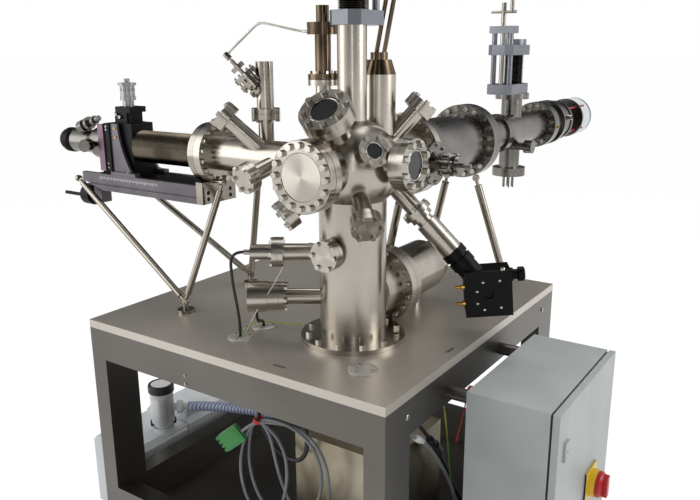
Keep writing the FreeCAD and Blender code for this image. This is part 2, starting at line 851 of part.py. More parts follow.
# The chamber is one weldment: base flange, column, sphere, top tube and all its ports.
PORTS = {
    "upper": aim(size("upper_port_azimuth"), size("upper_port_elevation")),
    "small": aim(size("small_port_azimuth"), size("small_port_elevation")),
    "lower": aim(size("lower_port_azimuth"), size("lower_port_elevation")),
    "source": aim(size("source_port_azimuth"), size("source_port_elevation")),
    "back": aim(size("back_port_azimuth"), size("back_port_elevation")),
    "gauge": aim(size("gauge_azimuth"), 0),
    "arm_upper": aim(size("arm_upper_azimuth"), size("arm_upper_elevation")),
    "arm_lower": aim(size("arm_lower_azimuth"), size("arm_lower_elevation")),
    "rear_small": aim(size("rear_small_azimuth"), size("rear_small_elevation"))}
SIDE_AXIS = moved(AXIS, along_z="side_port_lift")
FEED = moved(AXIS, along_y="feed_port_distance", along_z="-feed_port_drop")
PORT_ROOT = "sphere_radius / 2"
chamber_parts = [
    turned("column", stack(
        "0", ("base_flange_radius", "base_flange_thickness"), ("column_radius", "axis_height"),
        ("top_tube_radius", "axis_height + top_tube_length")), TABLE_POINT),
    ball("sphere", "sphere_radius", AXIS),
    turned("front_port", stack(PORT_ROOT, *flange_end("100", "front_port_length")), AXIS, FRONT),
    turned("side_port", stack(PORT_ROOT, *flange_end("63", "side_port_length")), SIDE_AXIS, RIGHT),
    turned("arm_port", stack(
        PORT_ROOT, ("arm_tube_radius", "arm_port_length - flange100_thickness"),
        ("flange100_radius", "arm_port_length")), AXIS, LEFT),
    turned("lens_port", stack(PORT_ROOT, *flange_end("160", "lens_port_length")), AXIS, BACK),
    turned("upper_port", stack(PORT_ROOT, *flange_end("63", "upper_port_length")), AXIS, PORTS["upper"]),
    turned("small_port", stack(PORT_ROOT, *flange_end("40", "small_port_length")), AXIS, PORTS["small"]),
    turned("lower_port", stack(PORT_ROOT, *flange_pair("40", "lower_port_length")),
           AXIS, PORTS["lower"]),
    turned("column_port", stack(PORT_ROOT, *flange_pair("40", "column_port_length")),
           moved(TABLE_POINT, along_z="column_port_height"), FRONT),
    turned("back_port", stack(PORT_ROOT, *flange_pair("40", "back_port_length")), TARGET, PORTS["back"]),
    turned("source_port", stack(PORT_ROOT, *flange_end("40", "source_port_length")),
           TARGET, PORTS["source"]),
    turned("arm_upper_port", stack(
        "0", ("valve_tube_radius", "arm_upper_length - flange40_thickness"),
        *flange_pair("40", "arm_upper_length")[1:]),
        moved(AXIS, along_x="-arm_upper_distance"), PORTS["arm_upper"]),
    turned("arm_lower_port", stack("0", *flange_pair("40", "arm_lower_length")),
           moved(AXIS, along_x="-arm_lower_distance"), PORTS["arm_lower"]),
    turned("upper_gauge_port", stack(PORT_ROOT, *flange_end("40", "gauge_port_length")),
           moved(TABLE_POINT, along_z="upper_gauge_height"), PORTS["gauge"]),
    turned("lower_gauge_port", stack(PORT_ROOT, *flange_end("40", "gauge_port_length")),
           moved(TABLE_POINT, along_z="lower_gauge_height"), PORTS["gauge"]),
    turned("rear_small_port", stack(PORT_ROOT, *flange_pair("40", "rear_small_length")),
           AXIS, PORTS["rear_small"]),
    turned("rear_port", stack(
        PORT_ROOT, ("rear_tube_radius", "rear_port_length - flange160_thickness"),
        ("rear_flange_radius", "rear_port_length")),
           moved(TABLE_POINT, along_z="rear_tube_height"), BACK),
    turned("valve_branch", stack(
        "0", ("valve_tube_radius", "valve_joint - flange40_thickness"), ("flange40_radius", "valve_joint")),
        moved(AXIS, "-valve_distance", "valve_offset")),
    turned("gauge_branch", stack(
        "0", ("gauge_tube_radius", "gauge_joint - flange40_thickness"), ("flange40_radius", "gauge_joint")),
        moved(AXIS, "gauge_tube_x", "gauge_tube_y")),
    rod("lock_branch", "lock_tube_radius", "lock_tube_height", moved(AXIS, "lock_tube_x", "lock_tube_y")),
    rod("feed_branch", "tube63_radius", "feed_port_length", FEED, RIGHT)]
VIEWS = (("upper", "63", "upper_port_length", AXIS, PORTS["upper"]),
         ("small", "40", "small_port_length", AXIS, PORTS["small"]),
         ("side", "63", "side_port_length", SIDE_AXIS, RIGHT))
sight_bores = [turned(
    f"{name}_sight",
    stack(f"{joint} - sight_depth", (f"window{kind}_radius", f"{joint} + seam_width")), at, turn)
    for name, kind, joint, at, turn in VIEWS]
NODES["chamber"] = without("chamber", joined("chamber_solid", chamber_parts),
                           together("sight_bores", sight_bores))

# Each viewport is a flange ring with a lip that holds the glass.
view_rings = []
view_glasses = []
for name, kind, joint, at, turn in VIEWS:
    view_rings.append(turned(f"{name}_ring", [
        (f"window{kind}_radius", joint), (f"flange{kind}_radius", joint),
        (f"flange{kind}_radius", f"{joint} + flange{kind}_thickness"),
        (f"window{kind}_radius + window_edge", f"{joint} + flange{kind}_thickness"),
        (f"window{kind}_radius + window_edge", f"{joint} + flange{kind}_thickness - window_recess"),
        (f"window{kind}_radius", f"{joint} + flange{kind}_thickness - window_recess")], at, turn))
    glass_start = f"{joint} + flange{kind}_thickness - window_recess"
    view_glasses.append(turned(
        f"{name}_glass",
        stack(glass_start, (f"window{kind}_radius + window_edge - seam_width / 4",
                            f"{glass_start} + window_thickness")), at, turn))
    ring_size = (LARGE_HEADS, 8, AXIS_POINT) if kind == "63" else (SMALL_HEADS, 6, AXIS_POINT)
    lift = Vector(0, 0, size("side_port_lift")) if name == "side" else Vector()
    bolt_ring(ring_size[0], AXIS_POINT + lift, turn, size(joint) + size(f"flange{kind}_thickness"),
              size(f"flange{kind}_bolt_circle"), ring_size[1])
NODES["viewport_flanges"] = together("viewport_flanges", view_rings)
NODES["viewport_windows"] = together("viewport_windows", view_glasses)

# The large blank on the front port has a turned face, and true bolt holes with their bolts.
blank = DOC.addObject("PartDesign::Body", "front_blank")
blank_outline = sketch_on(blank, "XZ_Plane", "front_blank_outline")
outline(blank_outline, [
    ("0", "front_port_length + fit_gap"), ("flange100_radius - seam_depth", "front_port_length + fit_gap"),
    ("flange100_radius", "front_port_length + seam_width * 2"),
    ("flange100_radius", "front_port_length + flange100_thickness - seam_width"),
    ("flange100_radius - seam_width", "front_port_length + flange100_thickness"),
    ("blank_face_radius", "front_port_length + flange100_thickness"),
    ("blank_face_radius - blank_face_depth", "front_port_length + flange100_thickness - blank_face_depth"),
    ("0", "front_port_length + flange100_thickness - blank_face_depth * 2")])
blank_turned = blank.newObject("PartDesign::Revolution", "front_blank_turned")
blank_turned.Profile = blank_outline
blank_turned.ReferenceAxis = (blank_outline, ["V_Axis"])
blank_turned.Angle = 360
DOC.recompute()
hole_sketch = sketch_on(blank, "XY_Plane", "front_blank_hole")
hole_circle = hole_sketch.addGeometry(Part.Circle(Vector(60, 0, 0), Vector(0, 0, 1), 4), False)
hole_radius = hole_sketch.addConstraint(Sketcher.Constraint("Radius", hole_circle, 4))
hole_sketch.setExpression(f"Constraints[{hole_radius}]", named("bolt_hole_radius"))
hole_reach = hole_sketch.addConstraint(Sketcher.Constraint("DistanceX", -1, 1, hole_circle, 3, 60))
hole_sketch.setExpression(f"Constraints[{hole_reach}]", named("flange100_bolt_circle"))
hole_sketch.addConstraint(Sketcher.Constraint("PointOnObject", hole_circle, 3, -1))
hole = blank.newObject("PartDesign::Pocket", "front_blank_hole_cut")
hole.Profile = hole_sketch
hole.Type = "ThroughAll"
hole.Midplane = True
holes = blank.newObject("PartDesign::PolarPattern", "front_blank_holes")
holes.Originals = [hole]
holes.Axis = (hole_sketch, ["N_Axis"])
holes.Angle = 360
holes.Occurrences = int(size("flange100_bolts"))
blank.Tip = holes
NODES["front_blank"] = place(blank, AXIS, FRONT)

# Transfer arm: end bracket, open rail, bellows and the carriage that rides on the rail.
ARM_LEFT = "-arm_port_length - flange100_thickness"
arm_end = turned("arm_end_flange", stack(
    "arm_port_length + seam_width / 2", ("flange100_radius", "arm_port_length + flange100_thickness")),
    AXIS, LEFT)
bracket_blank = box(
    "bracket_blank",
    ("column_x - bracket_start - bracket_thickness", "column_y - bracket_half_width",
     "table_height + axis_height - bracket_drop"),
    ("column_x - bracket_start", "column_y + bracket_half_width",
     "table_height + axis_height - yoke_bottom_drop"))
bracket_tools = [turned("bracket_seat", stack(
    "bracket_start - seam_width", ("flange100_radius + fit_gap", "bracket_start + bracket_thickness + 1")),
    AXIS, LEFT)]
for row, drop in enumerate(("bracket_hole_drop", "bracket_hole_drop + bracket_hole_spacing")):
    for column, sign in enumerate(("-1", "1")):
        bracket_tools.append(rod(
            f"bracket_hole_{row}{column}", "bracket_hole_radius", "bracket_hole_depth",
            moved(AXIS, "-bracket_start - bracket_hole_depth", f"{sign} * bracket_hole_offset", f"-({drop})"),
            RIGHT))
NODES["end_bracket"] = joined("end_bracket", [
    without("bracket_plate", bracket_blank, together("bracket_tools", bracket_tools)), arm_end])

RAIL_BOTTOM = "table_height + axis_height - rail_bottom_drop"
rail = DOC.addObject("PartDesign::Body", "translator_rail_channel")
rail_section = sketch_on(rail, "XZ_Plane", "rail_section")
outline(rail_section, [
    ("-rail_half_width", "0"), ("rail_half_width", "0"), ("rail_half_width", "rail_side_height"),
    ("rail_half_width - rail_wall", "rail_side_height"), ("rail_half_width - rail_wall", "rail_wall"),
    ("-rail_half_width + rail_wall", "rail_wall"), ("-rail_half_width + rail_wall", "rail_side_height"),
    ("-rail_half_width", "rail_side_height")])
rail_pad = rail.newObject("PartDesign::Pad", "rail_pad")
rail_pad.Profile = rail_section
rail_pad.setExpression("Length", named("rail_length"))
place(rail, ("column_x - bracket_start - bracket_thickness", "column_y", RAIL_BOTTOM),
      Rotation(Vector(0, 0, 1), -90))
RAIL_END = "column_x - bracket_start - bracket_thickness - rail_length"
taper = plate("rail_taper", [("0", "0"), ("rail_taper", "0"), ("0", "rail_taper_height")],
              "rail_half_width * 4",
              (RAIL_END, "column_y + rail_half_width * 2", RAIL_BOTTOM), Rotation(Vector(1, 0, 0), 90))
grooves = [box(f"rail_groove_{index}",
               (RAIL_END, f"column_y + ({low})", f"{RAIL_BOTTOM} + rail_groove_height"),
               ("column_x - bracket_start - bracket_thickness", f"column_y + ({high})",
                f"{RAIL_BOTTOM} + rail_groove_height + rail_groove_width"))
           for index, (low, high) in enumerate((
               ("-rail_half_width", "-rail_half_width + rail_groove_depth"),
               ("rail_half_width - rail_groove_depth", "rail_half_width")))]
CRANK = moved(AXIS, "-bracket_start - bracket_thickness - rail_length + crank_inset",
              "crank_offset", "-crank_drop")
crank_block = box("crank_block",
                  (CRANK[0], f"{CRANK[1]} - crank_block_width / 2", f"{CRANK[2]} - crank_block_width / 2"),
                  (f"{CRANK[0]} + crank_block_length", f"{CRANK[1]} + crank_block_width / 2",
                   f"{RAIL_BOTTOM} + rail_taper_height + rail_wall"))
NODES["translator_rail"] = joined("translator_rail", [
    without("rail_channel", rail, together("rail_tools", [taper] + grooves)), crank_block])
NODES["slide_cover"] = box(
    "slide_cover",
    (f"{RAIL_END} + crank_inset + crank_block_length + fit_gap",
     "column_y - rail_half_width + rail_wall + fit_gap", f"{RAIL_BOTTOM} + rail_wall"),
    ("column_x - arm_port_length - flange100_thickness - cover_start",
     "column_y + rail_half_width - rail_wall - fit_gap",
     f"{RAIL_BOTTOM} + rail_side_height - fit_gap - saddle_gap"))

bellows_count = round((size("yoke_start") - size("arm_port_length") - size("flange100_thickness"))
                      / size("bellows_pitch"))


def bellows(name, count, start, end, radius, depth, at, turn):
    """A corrugated tube as one closed solid between two faces."""
    pitch = (end - start) / count
    corners = [Vector(0, 0, start), Vector(radius - depth, 0, start)]
    for step in range(count):
        corners.append(Vector(radius, 0, start + pitch * (step + 0.5)))
        corners.append(Vector(radius - depth, 0, start + pitch * (step + 1)))
    corners += [Vector(0, 0, end), Vector(0, 0, start)]
    thing = DOC.addObject("Part::Feature", name)
    thing.Shape = Part.Face(Part.makePolygon(corners)).revolve(Vector(), Vector(0, 0, 1), 360)
    return place(thing, at, turn)


NODES["transfer_bellows"] = bellows(
    "transfer_bellows", bellows_count, size("arm_port_length") + size("flange100_thickness"),
    size("yoke_start"), size("bellows_radius"), size("bellows_depth"), AXIS, LEFT)

# The yoke is a plate with a narrower nose, a bridge and a cap on top, and a saddle on the rail.
YOKE_X = "column_x - yoke_start"
YOKE_BACK = "column_x - yoke_start - yoke_thickness"
YOKE_LOW = "table_height + axis_height - yoke_bottom_drop"
BRIDGE_Z = f"{YOKE_LOW} + yoke_height"
CAP_Z = f"{BRIDGE_Z} + top_block_height"
CAP_TOP = f"{CAP_Z} + cap_thickness"
yoke_parts = [
    box("yoke_plate", (YOKE_BACK, "column_y - yoke_half_width", YOKE_LOW),
        (f"{YOKE_BACK} + yoke_plate_thickness", "column_y + yoke_half_width", BRIDGE_Z)),
    box("yoke_nose", (YOKE_BACK, "column_y - yoke_nose_half_width", YOKE_LOW),
        (YOKE_X, "column_y + yoke_nose_half_width", BRIDGE_Z)),
    box("yoke_saddle", (f"{YOKE_BACK} - saddle_reach", "column_y - rail_half_width + rail_wall * 2",
                        f"{RAIL_BOTTOM} + rail_side_height - saddle_gap"),
        (YOKE_X, "column_y + rail_half_width - rail_wall * 2", YOKE_LOW)),
    box("yoke_bridge", (f"{YOKE_BACK} - bridge_overhang", "column_y - top_block_width / 2", BRIDGE_Z),
        (f"{YOKE_X} - bridge_setback", "column_y + top_block_width / 2", CAP_Z)),
    box("yoke_cap", (YOKE_BACK, "column_y - top_block_width / 2 - seam_width", CAP_Z),
        (f"{YOKE_X} - bridge_setback + cap_overhang", "column_y + top_block_width / 2 + seam_width",
         CAP_TOP)),
    rod("cap_pin", "cap_pin_radius", "top_block_height",
        (f"{YOKE_X} - bridge_setback + cap_overhang / 2", "column_y - cap_pin_offset", BRIDGE_Z))]
NODES["carriage_yoke"] = joined("carriage_yoke", yoke_parts)
gussets = []
for index, (low, high, foot) in enumerate((
        ("-yoke_half_width - gusset_thickness", "-yoke_half_width", "-yoke_half_width - gusset_foot_width"),
        ("yoke_half_width", "yoke_half_width + gusset_thickness", "yoke_half_width"))):
    sheet = without(
        f"gusset_sheet_{index}",
        box(f"gusset_blank_{index}", (YOKE_BACK, f"column_y + ({low})", YOKE_LOW),
            (f"{YOKE_BACK} + gusset_reach", f"column_y + ({high})", f"{YOKE_LOW} + gusset_height")),
        rod(f"gusset_curve_{index}", "gusset_curve_radius", "gusset_thickness * 3",
            (f"{YOKE_BACK} + yoke_plate_thickness + gusset_curve_radius",
             f"column_y + ({high}) + gusset_thickness", f"{YOKE_LOW} + gusset_height + gusset_curve_rise"),
            FRONT))
    gussets.append(joined(f"gusset_{index}", [sheet, box(
        f"gusset_foot_{index}",
        (YOKE_BACK, f"column_y + ({foot})", f"{RAIL_BOTTOM} + rail_side_height + fit_gap"),
        (f"{YOKE_BACK} + gusset_reach", f"column_y + ({foot}) + gusset_foot_width", YOKE_LOW))]))
NODES["carriage_gussets"] = together("carriage_gussets", gussets)
SWIVEL_X = f"{YOKE_BACK} - bearing_thickness"
NODES["swivel_plate"] = joined("swivel_plate", [
    box("bearing_strip", (SWIVEL_X, "column_y - swivel_half_width + bearing_inset", YOKE_LOW),
        (YOKE_BACK, "column_y + swivel_half_width - bearing_inset", f"{BRIDGE_Z} - fit_gap")),
    box("swivel_face", (f"{SWIVEL_X} - swivel_thickness", "column_y - swivel_half_width", YOKE_LOW),
        (SWIVEL_X, "column_y + swivel_half_width", f"{YOKE_LOW} + swivel_height"))])
MICROMETER = (f"{YOKE_X} - micrometer_setback", "column_y", CAP_TOP)
NODES["micrometer_body"] = turned("micrometer_body", stack(
    "0", ("micrometer_radius * 0.72", "micrometer_height * 0.3"),
    ("micrometer_radius", "micrometer_height * 0.48"),
    ("micrometer_radius * 0.92", "micrometer_height")), MICROMETER)
NODES["micrometer_thimble"] = turned("micrometer_thimble", stack(
    "0", ("micrometer_disc_radius", "micrometer_disc_height"),
    ("micrometer_knob_radius", "micrometer_disc_height + micrometer_knob_height")),
    moved(MICROMETER, along_z="micrometer_height + fit_gap"))
HEAD_START = "yoke_start + yoke_thickness + bearing_thickness + swivel_thickness"
HEAD_END = f"{HEAD_START} + head_length"
HEAD_PORTS = (aim(size("head_front_azimuth"), 0), aim(size("head_back_azimuth"), size("head_back_elevation")))
head_parts = [turned("head_barrel", [
    ("0", HEAD_START), ("head_radius", HEAD_START), ("head_radius", f"{HEAD_START} + head_length * 0.35"),
    ("head_radius * 0.72", f"{HEAD_START} + head_length * 0.55"), ("head_radius * 0.72", HEAD_END),
    ("0", HEAD_END)], AXIS, LEFT)]
for index, turn in enumerate(HEAD_PORTS):
    head_parts.append(turned(
        f"head_port_{index}",
        stack("0", ("head_port_radius * 0.6", "head_port_reach - head_port_pair * 3"),
              ("head_port_radius", "head_port_reach - head_port_pair * 2"),
              ("head_port_radius * 0.6", "head_port_reach - head_port_pair"),
              ("head_port_radius", "head_port_reach")),
        moved(AXIS, f"-({HEAD_START}) - head_port_station"), turn))
head_parts.append(turned("head_fitting", stack(
    "0", ("head_fitting_radius", "head_fitting_length * 0.25"),
    ("head_fitting_radius * 0.6", "head_fitting_length * 0.4"),
    ("head_fitting_radius", "head_fitting_length * 0.52"),
    ("head_fitting_radius * 0.55", "head_fitting_length * 0.7"),
    ("head_fitting_radius * 0.72", "head_fitting_length * 0.8"),
    ("head_fitting_radius * 0.45", "head_fitting_length")),
    moved(AXIS, f"-({HEAD_START}) - head_fitting_distance", "-head_fitting_offset", "head_fitting_height"),
    aim(0, size("head_fitting_elevation"))))
NODES["rotary_head"] = joined("rotary_head", head_parts)
NODES["rotary_knob"] = turned("rotary_knob", [
    ("0", f"{HEAD_END} + fit_gap"), ("knob_radius * 0.8", f"{HEAD_END} + fit_gap"),
    ("knob_radius", f"{HEAD_END} + knob_length * 0.2"), ("knob_radius", f"{HEAD_END} + knob_length * 0.6"),
    ("knob_radius * 0.9", f"{HEAD_END} + knob_length * 0.65"),
    ("knob_radius * 0.9", f"{HEAD_END} + knob_length * 0.85"),
    ("knob_radius * 0.6", f"{HEAD_END} + knob_length"), ("0", f"{HEAD_END} + knob_length")], AXIS, LEFT)
crank_disc = turned("crank_disc", stack(
    "fit_gap", ("crank_hub_radius", "crank_hub_length"),
    ("crank_radius", "crank_hub_length + crank_thickness")), CRANK, LEFT)
crank_grip = rod("crank_grip", "crank_handle_radius", "crank_handle_length + crank_thickness / 2",
                 moved(CRANK, "-crank_hub_length - crank_thickness / 2",
                       "-crank_radius + crank_handle_radius * 1.4"), LEFT)
NODES["crank_wheel"] = joined("crank_wheel", [crank_disc, crank_grip])


def beneath(along, across, radius):
    """Where a strut's ball sits under a round piece on the chamber's axis."""
    reach = radius + size("ball_radius") + size("fit_gap")
    return Vector(0, 0, -math.sqrt(reach ** 2 - across ** 2)) + AXIS_POINT + along


RAIL_UNDER = size("rail_bottom_drop") + size("ball_radius") + size("fit_gap")
RAIL_REACH = size("bracket_start") + size("bracket_thickness") + size("rail_length")
SIDEWAYS = size("rail_half_width") - size("rail_wall") / 2
FLANGE_SEAT = size("flange100_radius") - size("strut_pin_radius")
BETWEEN_BOLTS = 2 * math.pi / size("flange100_bolts")
FEET = {
    "left": (Vector(size("left_foot_x"), size("left_foot_y"), 0), "strut_radius", [
        AXIS_POINT + Vector(-RAIL_REACH - size("strut_stub"), -SIDEWAYS,
                            size("rail_side_height") / 2 - size("rail_bottom_drop")),
        AXIS_POINT + Vector(-size("arm_port_length") + size("flange100_thickness") + size("strut_stub"),
                            -FLANGE_SEAT * math.sin(BETWEEN_BOLTS), -FLANGE_SEAT * math.cos(BETWEEN_BOLTS))]),
    "rear": (Vector(size("rear_foot_x"), size("rear_foot_y"), 0), "strut_radius", [
        AXIS_POINT + Vector(-RAIL_REACH + size("rail_taper") * 1.6, SIDEWAYS, -RAIL_UNDER),
        beneath(Vector(-size("rear_strut_distance"), size("strut_spread") / 2, 0),
                size("strut_spread") / 2, size("arm_tube_radius"))]),
    "lens_right": (Vector(size("lens_foot_x"), size("lens_foot_y"), 0), "lens_strut_radius", [
        beneath(Vector(size("strut_spread"), size("tee_start") - size("flange160_thickness") / 2, 0),
                size("strut_spread"), size("flange160_radius"))]),
    "lens_left": (Vector(-size("lens_foot_x"), size("lens_foot_y"), 0), "lens_strut_radius", [
        beneath(Vector(-size("strut_spread"), size("tee_start") - size("flange160_thickness") / 2, 0),
                size("strut_spread"), size("flange160_radius"))]),
    "lens_near": (Vector(size("near_foot_x"), size("near_foot_y"), 0), "lens_strut_radius", [
        beneath(Vector(-size("near_spread"), size("lens_port_length") + size("flange160_thickness") / 2, 0),
                size("near_spread"), size("flange160_radius"))])}


def eye(middle, across):
    """The flat eye of a rod end, with its hole's axis across the rod."""
    thickness = size("eye_thickness")
    return Part.makeCylinder(size("ball_radius"), thickness, middle - across * (thickness / 2), across)


def strut(foot, top, radius, across):
    """A tube with thinner threaded ends, whose top end is a flat eye."""
    line = top - foot
    turn = Rotation(Vector(0, 0, 1), line)
    neck = size("strut_neck")
    tube = Part.makeCylinder(size(radius), line.Length - 2 * neck, Vector(0, 0, neck))
    solid = tube.fuse(Part.makeCylinder(size("rod_end_radius"), line.Length))
    solid.Placement = Placement(foot, turn)
    return solid.fuse(eye(top, across))


strut_solids = []
for place_on_table, radius, tops in FEET.values():
    base = COLUMN_FOOT + place_on_table
    joint = base + Vector(0, 0, size("foot_plate_thickness") + size("foot_post_height"))
    foot = Part.makeCylinder(size("foot_plate_radius"), size("foot_plate_thickness"), base)
    pieces = [Part.makeCylinder(size("rod_end_radius") * 1.4, joint.z - base.z, base),
              eye(joint, (tops[0] - joint).cross(Vector(0, 0, 1)).normalize())]
    across = Vector(1, 0, 0) if place_on_table.x < -size("table_width") / 4 else Vector(0, 1, 0)
    pieces += [strut(joint, top, radius, across) for top in tops]
    if place_on_table.x < 0 and place_on_table.y < 0:
        stub = size("strut_stub") - size("fit_gap")
        for top, direction in zip(tops, (1, -1)):
            pieces.append(Part.makeCylinder(size("strut_pin_radius"), stub, top, Vector(direction, 0, 0)))
    strut_solids.append(foot.fuse(pieces))
struts = DOC.addObject("Part::Feature", "support_struts")
struts.Shape = Part.makeCompound(strut_solids)
NODES["support_struts"] = struts

# Gas inlet on the arm: an angle valve, with a leak valve on its side and a thin gas pipe.
VALVE = moved(AXIS, "-valve_distance", "valve_offset")
LEAK_TURN = aim(size("leak_valve_azimuth"), size("leak_valve_elevation"))
LEAK = moved(VALVE, along_z="leak_branch_height")
valve_body = turned("valve_body", stack(
    "valve_joint + seam_width / 2", ("flange40_radius", "valve_joint + flange40_thickness"),
    ("valve_body_radius", "valve_body_height")), VALVE)
leak_body = turned("leak_body", stack(
    "0", ("valve_body_radius * 0.8", "leak_flange_start"),
    ("leak_flange_radius", "leak_flange_start + leak_flange_thickness"),
    ("leak_flange_radius * 0.6", "leak_flange_start + leak_flange_thickness * 1.6"),
    ("leak_flange_radius", "leak_flange_start + leak_flange_thickness * 2.4"),
    ("leak_stem_radius", "leak_stem_end")), LEAK, LEAK_TURN)
NODES["angle_valve"] = joined("angle_valve", [valve_body, leak_body])
NODES["leak_valve_knob"] = turned("leak_valve_knob", [
    ("leak_stem_radius + fit_gap", "leak_wheel_start"), ("leak_wheel_radius", "leak_wheel_start"),
    ("leak_wheel_radius", "leak_wheel_start + leak_wheel_thickness"),
    ("leak_stem_radius + fit_gap", "leak_wheel_start + leak_wheel_thickness")], LEAK, LEAK_TURN)


def bent_tube(name, radius, points):
    """A tube along straight runs that are joined by tangent arcs."""
    edges = []
    start = points[0]
    for before, corner, after in zip(points, points[1:], points[2:]):
        inward = (before - corner).normalize()
        outward = (after - corner).normalize()
        half = inward.getAngle(outward) / 2
        cut_back = 0.45 * min((before - corner).Length, (after - corner).Length)
        bend = cut_back * math.tan(half)
        print(name, "bend radius", round(bend, 1))
        first = corner + inward * cut_back
        last = corner + outward * cut_back
        centre = corner + (inward + outward).normalize() * (cut_back / math.cos(half))
        middle = centre + (corner - centre).normalize() * bend
        edges += [Part.LineSegment(start, first).toShape(), Part.Arc(first, middle, last).toShape()]
        start = last
    edges.append(Part.LineSegment(start, points[-1]).toShape())
    path = Part.Wire(edges)
    circle = Part.Wire([Part.Circle(points[0], points[1] - points[0], radius).toShape()])
    thing = DOC.addObject("Part::Feature", name)
    thing.Shape = path.makePipeShell([circle], True, False)
    print(name, "length", round(path.Length))
    return thing


def at_axis(*places):
    return [AXIS_POINT + Vector(*spot) for spot in places]


def at_table(*places):
    return [COLUMN_FOOT + Vector(*spot) for spot in places]


leak_line = LEAK_TURN.multVec(Vector(0, 0, 1))
leak_start = (Vector(-size("valve_distance"), size("valve_offset"), size("leak_branch_height"))
              + leak_line * (size("leak_stem_end") + size("fit_gap")))
gauge_side = size("gauge_tube_x") - size("flange40_radius") - size("fit_gap")
gauge_up = size("gauge_tube_height") - size("gauge_cap_drop") + size("flange40_thickness") / 2
gauge_y = size("gauge_tube_y")
NODES["gas_line"] = bent_tube("gas_line", size("gas_pipe_radius"), at_axis(
    tuple(leak_start), tuple(leak_start + leak_line * 9), (-341, -18, 243), (-332, -14, 253),
    (-306, -2, 278), (-281, 10, 303), (-268, 14, 311), (-250, 17, 310), (-190, 27, 297),
    (gauge_side - 20, gauge_y, gauge_up + 1), (gauge_side, gauge_y, gauge_up)))

# Upright tubes behind the sphere.
GAUGE = moved(AXIS, "gauge_tube_x", "gauge_tube_y")
NODES["ion_gauge"] = turned("ion_gauge", stack(
    "gauge_joint + seam_width / 2", ("flange40_radius", "gauge_joint + flange40_thickness"),
    ("gauge_tube_radius", "gauge_tube_height - gauge_cap_drop"),
    ("flange40_radius", "gauge_tube_height - gauge_cap_drop + flange40_thickness"),
    ("flange40_radius - seam_depth", "gauge_tube_height - gauge_cap_drop + flange40_thickness + seam_width"),
    ("flange40_radius", "gauge_tube_height - gauge_cap_drop + flange40_thickness * 2"),
    ("gauge_tube_radius * 0.8", "gauge_tube_height")), GAUGE)
LOCK = moved(AXIS, "lock_tube_x", "lock_tube_y")
lock_parts = [turned("lock_body", [
    ("0", "lock_tube_height + seam_width / 4"), ("lock_tube_radius", "lock_tube_height + seam_width / 4"),
    ("lock_neck_radius", "lock_tube_height + lock_neck_height"),
    ("lock_neck_radius * 0.7", "lock_tube_height + lock_neck_height"),
    ("lock_neck_radius * 0.7", "lock_tube_height + lock_neck_height * 1.5"),
    ("0", "lock_tube_height + lock_neck_height * 1.5")], LOCK)]
for index, across in enumerate(("-lock_rod_spread", "lock_rod_spread")):
    lock_parts.append(rod(f"lock_rod_{index}", "lock_rod_radius", "lock_rod_length",
                          moved(LOCK, across, along_z="lock_tube_height + lock_neck_height"),
                          aim(0, size("lock_rod_elevation"))))
NODES["loadlock_cylinder"] = joined("loadlock_cylinder", lock_parts)

# A feedthrough closes the short side port at the lens end of the chamber.
NODES["side_feedthrough"] = turned("side_feedthrough", stack(
    "feed_port_length + seam_width / 4",
    ("feed_disc_radius", "feed_port_length + feed_disc_thickness"),
    ("feed_body_radius", "feed_body_length + feed_port_length - feed_disc_thickness"),
    ("feed_body_radius * 1.2", "feed_body_length + feed_port_length"),
    ("feed_rod_radius", "feed_port_length + feed_rod_length")), FEED, RIGHT)

# Electron lens and detector, all on the chamber's back axis.
NODES["lens_tube"] = turned("lens_tube", stack(
    "lens_port_length + seam_width / 2", ("flange160_radius", "lens_port_length + flange160_thickness"),
    ("lens_tube_radius", "tee_start - flange160_thickness"), ("flange160_radius", "tee_start")), AXIS, BACK)
TEE = moved(AXIS, along_y="tee_branch_distance")
TEE_END = "tee_start + tee_length"
tee_parts = [
    turned("tee_run", stack(
        "tee_start + seam_width / 2", ("flange160_radius", "tee_start + flange160_thickness"),
        ("tee_run_radius", "tee_ring_start"),
        ("flange63_radius + seam_depth", "tee_ring_start + flange63_thickness"),
        ("flange63_radius", "tee_ring_start + flange63_thickness + seam_width"),
        ("flange63_radius + seam_depth", "tee_ring_start + flange63_thickness * 2"),
        ("tee_run_radius", TEE_END),
        ("flange100_radius", f"{TEE_END} + flange100_thickness")), AXIS, BACK),
    turned("tee_top", stack("0", ("tee_branch_radius", "tee_branch_top - flange63_thickness"),
                            ("tee_flange_radius", "tee_branch_top")), TEE),
    turned("tee_bottom", stack(
        "0", ("tee_branch_radius", "tee_branch_bottom"),
        ("tee_flange_radius", "tee_branch_bottom + flange63_thickness / 2"),
        ("tee_flange_radius - seam_depth", "tee_branch_bottom + flange63_thickness / 2 + seam_width"),
        ("tee_flange_radius", "tee_branch_bottom + flange63_thickness * 1.5")), TEE, DOWN),
    turned("tee_side", stack("0", ("tube40_radius * 0.6", "tee_run_radius + tee_side_neck"),
                             ("tube40_radius", "tee_run_radius + tee_side_length")),
           moved(AXIS, along_y="tee_side_distance", along_z="-tee_side_drop"), RIGHT)]
for index in range(int(size("pin_count"))):
    angle = 360 / size("pin_count") * index
    tee_parts.append(rod(
        f"tee_pin_{index}", "pin_radius", "pin_length",
        moved(TEE, f"pin_circle * cos({angle})", f"pin_circle * sin({angle})",
              "-tee_branch_bottom - flange63_thickness"), DOWN))
NODES["detector_tee"] = joined("detector_tee", tee_parts)


